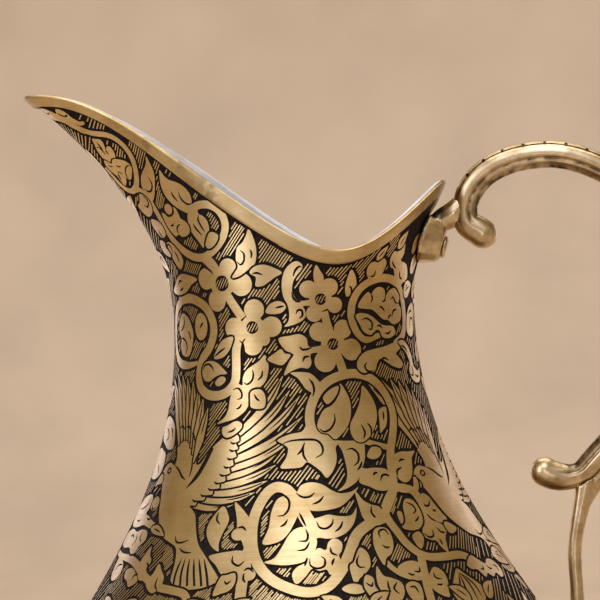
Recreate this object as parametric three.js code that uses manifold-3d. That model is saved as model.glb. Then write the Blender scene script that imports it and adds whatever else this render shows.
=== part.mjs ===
// Engraved brass jug: a body spun in two parts, a pulled pouring lip, a closed foot and a cast scroll handle.
// Millimetres, +Z up. The origin lies on the body's axis, in the plane that the jug stands on.
// The spout points along -X and the handle along +X, and the XZ plane is the plane of symmetry.
import * as THREE from 'three';
import { mergeVertices } from 'three/addons/utils/BufferGeometryUtils.js';
import Module from 'manifold-3d';

const wasm = await Module();
wasm.setup();

// Sheet and clearances
const SHEET = 1.2;
const SOLDER_GAP = 0.2;
const SEAT_GAP = 0.3;
const RIVET_CLEARANCE = 0.1;
const SPIGOT_CLEARANCE = 0.1;

// Body of revolution
const THROAT_RADIUS = 34;
const THROAT_HEIGHT = 205;
const BELLY_RADIUS = 80;
const BELLY_HEIGHT = 82;
const NECK_DRAW = 62;
const SHOULDER_DRAW = 36;
const BOWL_DRAW = 40;
const BOWL_FLOOR_DRAW = 28;
const SEAM_LAP = 7;
const SEAM_GAP = 0.4;
const SEAM_JOGGLE = 3;

// Foot and base
const FOOT_NECK_RADIUS = 36;
const FOOT_HEIGHT = 20;
const FOOT_RADIUS = 53;
const FOOT_EDGE = 3;
const FOOT_WAIST_DRAW = 11;
const FOOT_FLARE_DRAW = 9;
const FOOT_FLANGE = 6;
const BASE_THICKNESS = 1.2;
const BASE_WALL = 1.2;
const BASE_RIM = 3;
const BASE_BEVEL = 0.6;

// Mouth: reaches are measured from the axis, rises from the throat
const SPOUT_REACH = 74;
const SPOUT_RISE = 66;
const SPOUT_TIP_LENGTH = 8;
const SPOUT_TIP_HALF_WIDTH = 9.5;
const SPOUT_TIP_DROP = 0.8;
const SPOUT_TIP_ROUND = 4.5;
const SPOUT_SIDE_DRAW = 28;
const SPOUT_SIDE_SPREAD = 10.5;
const SPOUT_SIDE_DROP = 4.2;
const MOUTH_HALF_WIDTH = 36.5;
const DIP_SETBACK = 14;
const DIP_RISE = 16.7;
const DIP_FRONT_DRAW = 22;
const DIP_BACK_DRAW = 12;
const BACK_REACH = 44;
const BACK_RISE = 36;
const BACK_ROUND = 20;
const FLARE_EXPONENT = 1.9;

// Rim band: it is broader by its swell halfway up the slopes of the rim
const BAND_WIDTH = 4.3;
const BAND_SWELL = 1.7;
const BAND_THICKNESS = 0.8;

// Upper lug of the handle
const LUG_RISE = 19.9;
const LUG_HEIGHT = 14;
const LUG_WIDTH = 14;
const LUG_DEPTH = 6.2;
const LUG_FACE_HEIGHT = 11.2;
const LUG_FACE_WIDTH = 9.6;
const LUG_BEVEL = 0.9;
const LUG_RIVET_DROP = 1;
const STEM_THICKNESS = 5.6;
const STEM_WIDTH = 6.6;
const STEM_ROOT_OUT = 3;
const STEM_ROOT_UP = 5.5;

// Bow of the handle: offsets from its joint with the lug
const BOW_STANDOFF = 12.6;
const BOW_LIFT = 6.5;
const BOW_RISE_DRAW = 7;
const BOW_CREST_OUT = 22.7;
const BOW_CREST_UP = 15.2;
const BOW_CREST_DRAW = 16;
const BOW_REACH = 60.2;
const BOW_REACH_DROP = 24.4;
const BOW_REACH_DRAW = 23;
const BOW_RETURN = 30.7;
const BOW_RETURN_ANGLE = 41;
const BOW_RETURN_DRAW = 18;
const BOW_SPAN = 73.4;
const BOW_THICKNESS = 7.6;
const BOW_WIDTH = 8.6;
const BOW_END_THICKNESS = 7.4;
const BOW_END_WIDTH = 7.6;
const BUD_RADIUS = 4.2;
const HOOK_DRAW = 4;
const UPPER_BUD_OUT = 4.6;
const UPPER_BUD_DROP = 6.2;
const UPPER_BUD_ANGLE = 40;
const LOWER_BUD_IN = 10.9;
const LOWER_BUD_RISE = -0.7;
const LOWER_BUD_ANGLE = 35;

// Leg of the handle
const LEG_WAIST_IN = 4.3;
const LEG_WAIST_DROP = 29;
const LEG_TOP_DRAW = 12;
const LEG_WAIST_DRAW = 9;
const LEG_TOP_THICKNESS = 6;
const LEG_THICKNESS = 4;
const LEG_WIDTH = 6.4;
const PAD_LIFT = 1;
const PAD_LENGTH = 20;
const PAD_WIDTH = 14;
const PAD_THICKNESS = 2.6;
const PAD_END_SHARE = 0.12;
const PAD_RIVET_INSET = 5;
const LEG_LANDING = 5.5;

// Rivets and spigots
const RIVET_RADIUS = 1.6;
const RIVET_INNER_HEAD_RADIUS = 3.4;
const RIVET_INNER_HEAD = 1;
const UPPER_RIVET_HEAD_RADIUS = 3.2;
const LOWER_RIVET_HEAD_RADIUS = 2.4;
const RIVET_HEAD = 1;
const SPIGOT_RADIUS = 1.6;
const SPIGOT_REACH = 1;

// Facets
const HALF_COLUMNS = 28;
const COLUMNS = 2 * HALF_COLUMNS;
const SHOULDER_ROWS = 10;
const LIP_ROWS = 7;
const BAND_ROWS = 2;
const BOWL_ROWS = 8;
const FOOT_ROWS = 5;
const BUD_ROWS = 6;
const BOW_ROWS = 32;
const LEG_ROWS = 14;
const PAD_ROWS = 10;
const SECTION_SIDES = 12;
const SECTION_SQUARENESS = 2.6;
const ROUND_SIDES = 20;
const WELD = 1e-4;

const { lerp, clamp, smoothstep, degToRad } = THREE.MathUtils;
const v2 = (x, y) => new THREE.Vector2(x, y);
const v3 = (x, y, z) => new THREE.Vector3(x, y, z);
const moved = (point, run, distance) => point.clone().addScaledVector(run, distance);
const shares = (steps) => Array.from({ length: steps + 1 }, (_, i) => i / steps);

// A closed BufferGeometry from a list of points and a list of triangles.
function meshGeometry(points, triangles) {
  const geometry = new THREE.BufferGeometry();
  const numbers = points.flatMap((point) => point.toArray());
  geometry.setAttribute('position', new THREE.Float32BufferAttribute(numbers, 3));
  geometry.setIndex(triangles);
  return geometry;
}

function solidOf(geometry) {
  const bare = geometry.clone();
  bare.deleteAttribute('normal');
  bare.deleteAttribute('uv');
  const merged = mergeVertices(bare, WELD);
  const vertProperties = new Float32Array(merged.attributes.position.array);
  const triVerts = new Uint32Array(merged.index.array);
  return new wasm.Manifold(new wasm.Mesh({ numProp: 3, vertProperties, triVerts }));
}

function geometryOf(solid) {
  const mesh = solid.getMesh();
  const geometry = new THREE.BufferGeometry();
  geometry.setAttribute('position', new THREE.BufferAttribute(new Float32Array(mesh.vertProperties), 3));
  geometry.setIndex(new THREE.BufferAttribute(new Uint32Array(mesh.triVerts), 1));
  return geometry;
}

// A revolved profile of (radius, height) points, turned so that its axis is +Z.
function revolve(profile) {
  return new THREE.LatheGeometry(profile, COLUMNS).rotateX(Math.PI / 2);
}

// Quads between two rings of points that run anticlockwise, seen from where the rings lead.
function bridge(triangles, from, to, count) {
  for (let i = 0; i < count; i++) {
    const next = (i + 1) % count;
    triangles.push(from + i, from + next, to + next, from + i, to + next, to + i);
  }
}

// The closed solid between an outer and an inner grid of rings.
function shellBetween(outer, inner) {
  const count = outer[0].length;
  const rings = [...outer, ...inner.slice().reverse()];
  const triangles = [];
  rings.forEach((_, k) => bridge(triangles, k * count, ((k + 1) % rings.length) * count, count));
  return meshGeometry(rings.flat(), triangles);
}

// The closed solid inside one grid of rings, with a fan to a point at each end.
function filled(rings, first, last) {
  const count = rings[0].length;
  const points = [...rings.flat(), first, last];
  const end = (rings.length - 1) * count;
  const triangles = [];
  for (let k = 0; k + 1 < rings.length; k++) bridge(triangles, k * count, (k + 1) * count, count);
  for (let i = 0; i < count; i++) {
    const next = (i + 1) % count;
    triangles.push(next, i, points.length - 2, end + i, end + next, points.length - 1);
  }
  return meshGeometry(points, triangles);
}

// A round rod from one point to another.
function rod(from, to, radius) {
  const geometry = new THREE.CylinderGeometry(radius, radius, from.distanceTo(to), ROUND_SIDES);
  const turn = new THREE.Quaternion().setFromUnitVectors(v3(0, 1, 0), to.clone().sub(from).normalize());
  const middle = from.clone().lerp(to, 0.5);
  return geometry.applyQuaternion(turn).translate(middle.x, middle.y, middle.z);
}

// A bar swept in the XZ plane. Each stop holds its centre, its direction and the half sizes of the section.
function sweep(stops, first = stops[0].centre, last = stops[stops.length - 1].centre) {
  const rounded = (value) => Math.sign(value) * Math.abs(value) ** (2 / SECTION_SQUARENESS);
  const rings = stops.map(({ centre, direction, thick, wide }) => {
    const across = v3(-direction.z, 0, direction.x);
    return Array.from({ length: SECTION_SIDES }, (_, i) => {
      const angle = (2 * Math.PI * i) / SECTION_SIDES;
      const point = moved(centre, across, thick * rounded(Math.sin(angle)));
      point.y = wide * rounded(Math.cos(angle));
      return point;
    });
  });
  return solidOf(filled(rings, first, last));
}

// Body profile as (radius, height)
const throat = v2(THROAT_RADIUS, THROAT_HEIGHT);
const belly = v2(BELLY_RADIUS, BELLY_HEIGHT);
const bowlFloor = v2(FOOT_NECK_RADIUS, FOOT_HEIGHT);
const shoulder = new THREE.CubicBezierCurve(
  throat,
  v2(THROAT_RADIUS, THROAT_HEIGHT - NECK_DRAW),
  v2(BELLY_RADIUS, BELLY_HEIGHT + SHOULDER_DRAW),
  belly,
);
const bowl = new THREE.CubicBezierCurve(
  bowlFloor,
  v2(FOOT_NECK_RADIUS + BOWL_FLOOR_DRAW, FOOT_HEIGHT),
  v2(BELLY_RADIUS, BELLY_HEIGHT - BOWL_DRAW),
  belly,
);

// A profile moved to the left of the way its points run.
function inset(profile, depth) {
  return profile.map((point, i) => {
    const before = profile[Math.max(i - 1, 0)];
    const after = profile[Math.min(i + 1, profile.length - 1)];
    const run = after.clone().sub(before).normalize();
    return v2(point.x - depth * run.y, point.y + depth * run.x);
  });
}

// Half of the rim, from the back to the tip of the spout, above the throat
const back = v3(BACK_REACH, 0, BACK_RISE);
const dip = v3(DIP_SETBACK, MOUTH_HALF_WIDTH, DIP_RISE);
const tip = v3(-SPOUT_REACH, 0, SPOUT_RISE);
const lip = v3(SPOUT_TIP_LENGTH - SPOUT_REACH, SPOUT_TIP_HALF_WIDTH, SPOUT_RISE - SPOUT_TIP_DROP);
const lipRun = v3(-SPOUT_SIDE_DRAW, -SPOUT_SIDE_SPREAD, SPOUT_SIDE_DROP);
const acrossPlane = v3(0, 1, 0);
const forward = v3(-1, 0, 0);
const halfRim = new THREE.CurvePath();
halfRim.add(new THREE.CubicBezierCurve3(
  back,
  moved(back, acrossPlane, BACK_ROUND),
  moved(dip, forward, -DIP_BACK_DRAW),
  dip,
));
halfRim.add(new THREE.CubicBezierCurve3(
  dip,
  moved(dip, forward, DIP_FRONT_DRAW),
  lip.clone().sub(lipRun),
  lip,
));
halfRim.add(new THREE.CubicBezierCurve3(
  lip,
  moved(lip, lipRun.clone().normalize(), SPOUT_TIP_ROUND),
  moved(tip, acrossPlane, SPOUT_TIP_ROUND),
  tip,
));

// Columns of the wall: where each meets the rim, and its place in an even division of the body
const halfColumns = halfRim.getSpacedPoints(HALF_COLUMNS).map((rim, i) => ({
  reach: Math.hypot(rim.x, rim.y),
  rise: rim.z,
  azimuth: Math.atan2(rim.y, rim.x),
  even: (Math.PI * i) / HALF_COLUMNS,
}));
const farColumns = halfColumns.slice(1, -1).reverse().map((column) => ({
  ...column,
  azimuth: 2 * Math.PI - column.azimuth,
  even: 2 * Math.PI - column.even,
}));
const columns = [...halfColumns, ...farColumns];

// Above the throat the wall flares as a power of its height.
function lipPoint(column, share) {
  const { reach, rise, azimuth } = column;
  const radius = THROAT_RADIUS + (reach - THROAT_RADIUS) * share ** FLARE_EXPONENT;
  return v3(radius * Math.cos(azimuth), radius * Math.sin(azimuth), THROAT_HEIGHT + share * rise);
}

// The share of a column's rise at which the rim band starts.
function bandStart({ reach, rise }) {
  const climb = (rise - DIP_RISE) / (SPOUT_RISE - DIP_RISE);
  const width = BAND_WIDTH + BAND_SWELL * 4 * climb * (1 - climb);
  return 1 - width / Math.hypot(FLARE_EXPONENT * (reach - THROAT_RADIUS), rise);
}

// Below the throat the wall is a body of revolution, whose columns drift to the even division.
function shoulderPoint({ azimuth, even }, place) {
  const { x: radius, y: height } = shoulder.getPoint(place);
  const turn = lerp(even, azimuth, smoothstep(height, BELLY_HEIGHT, THROAT_HEIGHT));
  return v3(radius * Math.cos(turn), radius * Math.sin(turn), height);
}

const wall = [
  ...shares(SHOULDER_ROWS).map((share) => columns.map((column) => shoulderPoint(column, 1 - share))),
  ...shares(LIP_ROWS).slice(1).map((share) => columns.map((column) => lipPoint(column, share * bandStart(column)))),
  ...shares(BAND_ROWS).slice(1).map((share) => columns.map((column) => (
    lipPoint(column, lerp(bandStart(column), 1, share))
  ))),
];
const bandRow = SHOULDER_ROWS + LIP_ROWS;
const wallNormals = wall.map((row, k) => row.map((_, i) => {
  const around = row[(i + 1) % COLUMNS].clone().sub(row[(i + COLUMNS - 1) % COLUMNS]);
  const up = wall[Math.min(k + 1, wall.length - 1)][i].clone().sub(wall[Math.max(k - 1, 0)][i]);
  return around.cross(up).normalize();
}));

// The wall's rows, from a given one to the rim, moved out by a distance. The seam's edge stays level.
function offsetWall(distance, fromRow = 0) {
  return wall.slice(fromRow).map((row, k) => row.map((point, i) => {
    const place = moved(point, wallNormals[fromRow + k][i], distance);
    if (fromRow + k === 0) place.z = BELLY_HEIGHT;
    return place;
  }));
}

// What a casting is cut by to sit on the wall
const wallCut = solidOf(filled(
  offsetWall(SEAT_GAP),
  v3(0, 0, BELLY_HEIGHT),
  v3(0, 0, THROAT_HEIGHT + DIP_RISE),
));

// A place on the back of the wall at a height, with the wall's upward run and outward normal.
function backAt(height) {
  const row = Math.max(1, wall.findIndex((ring) => ring[0].z > height));
  const below = wall[row - 1][0];
  const above = wall[row][0];
  const run = above.clone().sub(below).normalize();
  const point = moved(below, run, (height - below.z) / run.z);
  return { point, run, normal: v3(run.z, 0, -run.x) };
}

// Places on the back of the wall that carry the handle
const lugSeat = backAt(THROAT_HEIGHT + LUG_RISE);
const lugRivet = { ...lugSeat, point: moved(lugSeat.point, lugSeat.run, -LUG_RIVET_DROP) };
const padEnd = BELLY_HEIGHT + SEAM_LAP + PAD_LIFT;
const padRivet = backAt(padEnd + PAD_RIVET_INSET);
const legLanding = backAt(padEnd + PAD_RIVET_INSET + LEG_LANDING);

// Points of the handle, all in the XZ plane
const upperJoint = lugSeat.point.clone().add(v3(BOW_STANDOFF, 0, BOW_LIFT));
const crest = upperJoint.clone().add(v3(BOW_CREST_OUT, 0, BOW_CREST_UP));
const farthest = upperJoint.clone().add(v3(BOW_REACH, 0, -BOW_REACH_DROP));
const lowerJoint = upperJoint.clone().add(v3(BOW_RETURN, 0, -BOW_SPAN));
const upperBud = upperJoint.clone().add(v3(UPPER_BUD_OUT, 0, -UPPER_BUD_DROP));
const lowerBud = lowerJoint.clone().add(v3(-LOWER_BUD_IN, 0, LOWER_BUD_RISE));
const stemRoot = moved(moved(lugSeat.point, lugSeat.normal, STEM_ROOT_OUT), lugSeat.run, STEM_ROOT_UP);
const stemRun = upperJoint.clone().sub(stemRoot).normalize();
const legWaist = lowerJoint.clone().add(v3(-LEG_WAIST_IN, 0, -LEG_WAIST_DROP));

const up = v3(0, 0, 1);
const down = v3(0, 0, -1);
const outward = v3(1, 0, 0);
const slanted = (degrees) => v3(-Math.cos(degToRad(degrees)), 0, Math.sin(degToRad(degrees)));

// A cubic curve from one point to another, with the runs it leaves and arrives along and their handles.
function curved(start, leaving, leaveDraw, end, arriving, arriveDraw) {
  return new THREE.CubicBezierCurve3(start, moved(start, leaving, leaveDraw), moved(end, arriving, -arriveDraw), end);
}

const bowLine = new THREE.CurvePath();
bowLine.add(curved(upperBud, slanted(UPPER_BUD_ANGLE), HOOK_DRAW, upperJoint, up, HOOK_DRAW));
bowLine.add(curved(upperJoint, up, BOW_RISE_DRAW, crest, outward, BOW_CREST_DRAW));
bowLine.add(curved(crest, outward, BOW_CREST_DRAW, farthest, down, BOW_REACH_DRAW));
bowLine.add(curved(farthest, down, BOW_REACH_DRAW, lowerJoint, slanted(-BOW_RETURN_ANGLE), BOW_RETURN_DRAW));
bowLine.add(curved(lowerJoint, slanted(-BOW_RETURN_ANGLE), HOOK_DRAW, lowerBud, slanted(LOWER_BUD_ANGLE), HOOK_DRAW));

const legLine = new THREE.CurvePath();
legLine.add(curved(lowerJoint, down, LEG_TOP_DRAW, legWaist, down, LEG_WAIST_DRAW));
legLine.add(curved(
  legWaist,
  down,
  LEG_WAIST_DRAW,
  moved(legLanding.point, legLanding.normal, PAD_THICKNESS / 2),
  legLanding.run.clone().negate(),
  LEG_WAIST_DRAW,
));

// A stop on the bow at a distance from its first end. It swells to its middle and has a ball at each end.
function bowStop(place, length, gap) {
  const along = clamp((place - BUD_RADIUS) / length, 0, 1);
  const direction = bowLine.getTangentAt(along);
  const centre = moved(bowLine.getPointAt(along), direction, place - BUD_RADIUS - along * length);
  const fromEnd = Math.min(place, length + 2 * BUD_RADIUS - place);
  const ball = Math.sqrt(Math.max(0, BUD_RADIUS ** 2 - (fromEnd - BUD_RADIUS) ** 2));
  const swell = Math.sin(Math.PI * along);
  const inBud = fromEnd < BUD_RADIUS;
  const bar = (end, middle) => (inBud ? 0 : lerp(end, middle, swell) / 2);
  return {
    centre,
    direction,
    thick: Math.max(ball, bar(BOW_END_THICKNESS, BOW_THICKNESS)) + gap,
    wide: Math.max(ball, bar(BOW_END_WIDTH, BOW_WIDTH)) + gap,
  };
}

function bowSolid(gap) {
  const length = bowLine.getLength();
  const bar = length - 2 * BUD_RADIUS;
  const ballPlaces = shares(BUD_ROWS).slice(1).map((share) => BUD_RADIUS * (1 - Math.cos(share * Math.PI)));
  const places = [
    ...ballPlaces,
    ...shares(BOW_ROWS).slice(1).map((share) => 2 * BUD_RADIUS + share * bar),
    ...ballPlaces.slice(0, -1).reverse().map((place) => length + 2 * BUD_RADIUS - place),
  ];
  return sweep(
    places.map((place) => bowStop(place, length, gap)),
    moved(upperBud, bowLine.getTangentAt(0), -BUD_RADIUS - gap),
    moved(lowerBud, bowLine.getTangentAt(1), BUD_RADIUS + gap),
  );
}

// A spigot on the end of a casting, or with a clearance the socket that takes it.
function spigot(joint, run, clearance) {
  const start = moved(joint, run, -BOW_THICKNESS);
  const end = moved(joint, run, SPIGOT_REACH + clearance);
  return solidOf(rod(start, end, SPIGOT_RADIUS + clearance));
}

// Rivets: where each meets the wall, how far out its outer head sits and that head's radius
const rivets = {
  upper_rivet: { seat: lugRivet, outside: LUG_DEPTH, headRadius: UPPER_RIVET_HEAD_RADIUS },
  lower_rivet: { seat: padRivet, outside: PAD_THICKNESS + SEAT_GAP, headRadius: LOWER_RIVET_HEAD_RADIUS },
};

const rivetHoles = Object.values(rivets).map(({ seat, outside }) => solidOf(rod(
  moved(seat.point, seat.normal, -2 * SHEET),
  moved(seat.point, seat.normal, outside + SHEET),
  RIVET_RADIUS + RIVET_CLEARANCE,
)));
const drilled = (solid) => rivetHoles.reduce((cut, hole) => cut.subtract(hole), solid);

function rivet({ seat: { point, normal }, outside, headRadius }) {
  const sag = RIVET_INNER_HEAD_RADIUS ** 2 / (2 * (point.x - SHEET));
  const inside = -SHEET - sag - SEAT_GAP;
  const under = outside + SOLDER_GAP;
  const profile = [
    v2(0, inside - RIVET_INNER_HEAD),
    v2(RIVET_INNER_HEAD_RADIUS, inside - RIVET_INNER_HEAD),
    v2(RIVET_INNER_HEAD_RADIUS, inside),
    v2(RIVET_RADIUS, inside),
    v2(RIVET_RADIUS, under),
    v2(headRadius, under),
    v2(headRadius, under + RIVET_HEAD / 2),
    v2(headRadius - RIVET_HEAD / 2, under + RIVET_HEAD),
    v2(0, under + RIVET_HEAD),
  ];
  const turn = new THREE.Quaternion().setFromUnitVectors(v3(0, 1, 0), normal);
  const geometry = new THREE.LatheGeometry(profile, ROUND_SIDES).applyQuaternion(turn);
  return geometry.translate(point.x, point.y, point.z);
}

function basePlate() {
  const inside = FOOT_RADIUS + SOLDER_GAP;
  const outside = inside + BASE_WALL;
  const top = BASE_THICKNESS + BASE_RIM;
  return revolve([
    v2(0, 0),
    v2(outside - BASE_BEVEL, 0),
    v2(outside, BASE_BEVEL),
    v2(outside, top),
    v2(inside, top),
    v2(inside, BASE_THICKNESS),
    v2(0, BASE_THICKNESS),
  ]);
}

function footRing() {
  const bottom = BASE_THICKNESS + SOLDER_GAP;
  const top = FOOT_HEIGHT - SOLDER_GAP;
  const edge = bottom + FOOT_EDGE;
  const flare = new THREE.CubicBezierCurve(
    v2(FOOT_RADIUS, edge),
    v2(FOOT_RADIUS - FOOT_FLARE_DRAW, edge),
    v2(FOOT_NECK_RADIUS, top - FOOT_WAIST_DRAW),
    v2(FOOT_NECK_RADIUS, top),
  );
  const outer = [v2(FOOT_RADIUS, bottom), ...flare.getPoints(FOOT_ROWS)];
  const inner = inset(outer, SHEET);
  inner[0].y = bottom;
  inner[inner.length - 1].y = top - SHEET;
  const flangeEnd = FOOT_NECK_RADIUS - FOOT_FLANGE;
  const flange = [v2(flangeEnd, top), v2(flangeEnd, top - SHEET)];
  return revolve([...outer, ...flange, ...inner.reverse(), outer[0]]);
}

function lowerShell() {
  const seam = BELLY_HEIGHT - SOLDER_GAP;
  const outer = [v2(0, FOOT_HEIGHT), ...bowl.getPoints(BOWL_ROWS)];
  outer[outer.length - 1].y = seam;
  const lap = shares(2).map((share) => {
    const height = seam + share * SEAM_LAP;
    return v2(backAt(height).point.x - SHEET - SEAM_GAP, height);
  });
  const lapInside = lap.map((point) => v2(point.x - SHEET, point.y)).reverse();
  const inner = inset(outer, SHEET).filter((point) => point.y < seam - SEAM_JOGGLE).reverse();
  inner[inner.length - 1].set(0, FOOT_HEIGHT + SHEET);
  return revolve([...outer, ...lap, ...lapInside, ...inner]);
}

function upperShell() {
  return geometryOf(drilled(solidOf(shellBetween(offsetWall(0), offsetWall(-SHEET)))));
}

function rimBand() {
  return shellBetween(offsetWall(SOLDER_GAP + BAND_THICKNESS, bandRow), offsetWall(SOLDER_GAP, bandRow));
}

function upperLug() {
  const stop = (out, height, width) => ({
    centre: moved(lugSeat.point, lugSeat.normal, out),
    direction: lugSeat.normal,
    thick: height / 2,
    wide: width / 2,
  });
  const boss = sweep([
    stop(-SHEET, LUG_HEIGHT, LUG_WIDTH),
    stop(SHEET, LUG_HEIGHT, LUG_WIDTH),
    stop(LUG_DEPTH - LUG_BEVEL, LUG_FACE_HEIGHT, LUG_FACE_WIDTH),
    stop(LUG_DEPTH, LUG_FACE_HEIGHT - 2 * LUG_BEVEL, LUG_FACE_WIDTH - 2 * LUG_BEVEL),
  ]);
  const stem = sweep([stemRoot, upperJoint].map((centre) => ({
    centre,
    direction: stemRun,
    thick: STEM_THICKNESS / 2,
    wide: STEM_WIDTH / 2,
  })));
  const cast = boss.add(stem).subtract(wallCut).subtract(bowSolid(SEAT_GAP));
  return geometryOf(drilled(cast.add(spigot(upperJoint, stemRun, 0))));
}

function handleBow() {
  const upperSocket = spigot(upperJoint, stemRun, SPIGOT_CLEARANCE);
  const lowerSocket = spigot(lowerJoint, up, SPIGOT_CLEARANCE);
  return geometryOf(bowSolid(0).subtract(upperSocket).subtract(lowerSocket));
}

function lowerLeg() {
  const bar = sweep(shares(LEG_ROWS).map((share) => ({
    centre: legLine.getPointAt(share),
    direction: legLine.getTangentAt(share),
    thick: lerp(LEG_TOP_THICKNESS, LEG_THICKNESS, smoothstep(share, 0, 1 / 3)) / 2,
    wide: LEG_WIDTH / 2,
  })));
  const pad = sweep(shares(PAD_ROWS).map((share) => {
    const { point, run, normal } = backAt(lerp(padEnd + PAD_LENGTH, padEnd, share));
    return {
      centre: moved(point, normal, SEAT_GAP),
      direction: run.clone().negate(),
      thick: PAD_THICKNESS,
      wide: (PAD_WIDTH / 2) * Math.sin(Math.PI * lerp(PAD_END_SHARE, 1 - PAD_END_SHARE, share)),
    };
  }));
  const cast = bar.add(pad).subtract(wallCut).subtract(bowSolid(SEAT_GAP));
  return geometryOf(drilled(cast.add(spigot(lowerJoint, up, 0))));
}

const sheetBrass = new THREE.MeshStandardMaterial({ color: 0xb79a5c, metalness: 1, roughness: 0.35 });
const castBrass = new THREE.MeshStandardMaterial({ color: 0xa8813f, metalness: 1, roughness: 0.4 });
const jug = new THREE.Group();
jug.name = 'jug';

function addPiece(name, geometry, material) {
  const mesh = new THREE.Mesh(geometry, material);
  mesh.name = name;
  jug.add(mesh);
}

addPiece('base_plate', basePlate(), sheetBrass);
addPiece('foot_ring', footRing(), sheetBrass);
addPiece('lower_shell', lowerShell(), sheetBrass);
addPiece('upper_shell', upperShell(), sheetBrass);
addPiece('rim_band', rimBand(), sheetBrass);
addPiece('upper_lug', upperLug(), castBrass);
addPiece('handle_bow', handleBow(), castBrass);
addPiece('lower_leg', lowerLeg(), castBrass);
Object.entries(rivets).forEach(([name, place]) => addPiece(name, rivet(place), castBrass));

export default jug;
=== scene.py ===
import math

import bmesh
import bpy
import numpy as np
from mathutils import Matrix, Vector
from mathutils.geometry import delaunay_2d_cdt


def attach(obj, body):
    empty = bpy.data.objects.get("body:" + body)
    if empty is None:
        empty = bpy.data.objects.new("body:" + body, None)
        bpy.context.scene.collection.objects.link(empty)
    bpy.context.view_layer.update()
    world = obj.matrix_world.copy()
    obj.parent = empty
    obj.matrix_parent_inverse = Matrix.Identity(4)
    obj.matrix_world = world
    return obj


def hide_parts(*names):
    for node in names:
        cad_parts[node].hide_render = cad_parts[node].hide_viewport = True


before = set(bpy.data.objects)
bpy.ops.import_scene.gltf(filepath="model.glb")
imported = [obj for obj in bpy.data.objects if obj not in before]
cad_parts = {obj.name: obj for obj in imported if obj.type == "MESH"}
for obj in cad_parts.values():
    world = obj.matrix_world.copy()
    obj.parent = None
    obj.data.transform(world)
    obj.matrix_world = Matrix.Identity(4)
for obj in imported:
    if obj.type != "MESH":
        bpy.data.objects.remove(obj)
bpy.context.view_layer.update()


# Base plate: a shallow brass pan with a turned-up wall, soldered over the
# edge of the foot, on which the jug stands. It is spun from the same sheet
# as the body and left plain.
MM = 0.001


def new_material(name, **settings):
    """A material's node tree, its shader and its place on the object."""
    material = bpy.data.materials.new(name)
    material.use_nodes = True
    tree = material.node_tree
    shader = tree.nodes["Principled BSDF"]
    for setting, value in settings.items():
        shader.inputs[setting.replace("_", " ")].default_value = value
    return material, tree, shader, tree.nodes.new("ShaderNodeTexCoord").outputs["Object"]


def noise(tree, place, scale, detail):
    """A noise texture laid over the given coordinates."""
    texture = tree.nodes.new("ShaderNodeTexNoise")
    texture.inputs["Scale"].default_value = scale
    texture.inputs["Detail"].default_value = detail
    tree.links.new(place, texture.inputs["Vector"])
    return texture


def two_tones(tree, share, dark, light):
    """A colour that runs from dark to light, each given as (share, colour)."""
    ramp = tree.nodes.new("ShaderNodeValToRGB")
    for stop, (at, colour) in zip(ramp.color_ramp.elements, (dark, light)):
        stop.position = at
        stop.color = (*colour, 1)
    tree.links.new(share, ramp.inputs["Fac"])
    return ramp.outputs["Color"]


def mapped(tree, value, span, onto):
    """The value, carried from one span onto another."""
    carry = tree.nodes.new("ShaderNodeMapRange")
    for limit, number in zip(("From Min", "From Max", "To Min", "To Max"), (*span, *onto)):
        carry.inputs[limit].default_value = number
    tree.links.new(value, carry.inputs["Value"])
    return carry.outputs["Result"]


def brass(name, dull, bright, roughness, brush=2600.0, patch=70.0, metal=1.0):
    """Lathe-brushed brass: rings of fine scratches, patches of tarnish, and a per-point dark layer that holds dirt,
    stains and, on some pieces, painted shade.
    """
    material, tree, shader, place = new_material(name, Metallic=metal)
    nodes, links = tree.nodes, tree.links
    turned = nodes.new("ShaderNodeMapping")
    turned.inputs["Scale"].default_value = (30.0, 30.0, brush)
    links.new(place, turned.inputs["Vector"])
    scratches = noise(tree, turned.outputs["Vector"], 1.0, 3.0)
    tarnish = noise(tree, place, patch, 6.0)
    tarnish.inputs["Roughness"].default_value = 0.62
    blend = nodes.new("ShaderNodeMath")
    blend.operation = "MULTIPLY_ADD"
    blend.inputs[1].default_value = 0.3
    links.new(scratches.outputs["Fac"], blend.inputs[0])
    links.new(tarnish.outputs["Fac"], blend.inputs[2])
    # The per-point dark layer, speckled: dirt and stains, and painted shade where a piece lays it down.
    grime_and_shade_amount = nodes.new("ShaderNodeAttribute")
    grime_and_shade_amount.attribute_name = "grime_and_shade"
    flecks = noise(tree, place, 420.0, 4.0)
    speckled = nodes.new("ShaderNodeMath")
    speckled.operation = "MULTIPLY"
    links.new(grime_and_shade_amount.outputs["Fac"], speckled.inputs[0])
    links.new(mapped(tree, flecks.outputs["Fac"], (0.42, 0.6), (0.2, 0.8)), speckled.inputs[1])
    grime_and_shade_mix = nodes.new("ShaderNodeMix")
    grime_and_shade_mix.data_type = "RGBA"
    grime_and_shade_mix.inputs["B"].default_value = (0.05, 0.03, 0.015, 1)
    links.new(speckled.outputs[0], grime_and_shade_mix.inputs["Factor"])
    links.new(two_tones(tree, blend.outputs[0], (0.42, dull), (0.78, bright)), grime_and_shade_mix.inputs["A"])
    links.new(grime_and_shade_mix.outputs["Result"], shader.inputs["Base Color"])
    gloss = mapped(tree, blend.outputs[0], (0, 1), (roughness + 0.12, roughness - 0.06))
    links.new(gloss, shader.inputs["Roughness"])
    bump = nodes.new("ShaderNodeBump")
    bump.inputs["Strength"].default_value = 0.25
    bump.inputs["Distance"].default_value = 0.00004
    links.new(scratches.outputs["Fac"], bump.inputs["Height"])
    links.new(bump.outputs["Normal"], shader.inputs["Normal"])
    return material


def dress(piece, node, slot):
    """Fixes a finished piece to the jug's one body, in place of its node."""
    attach(piece, "root")
    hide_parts(node)
    return piece


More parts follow.
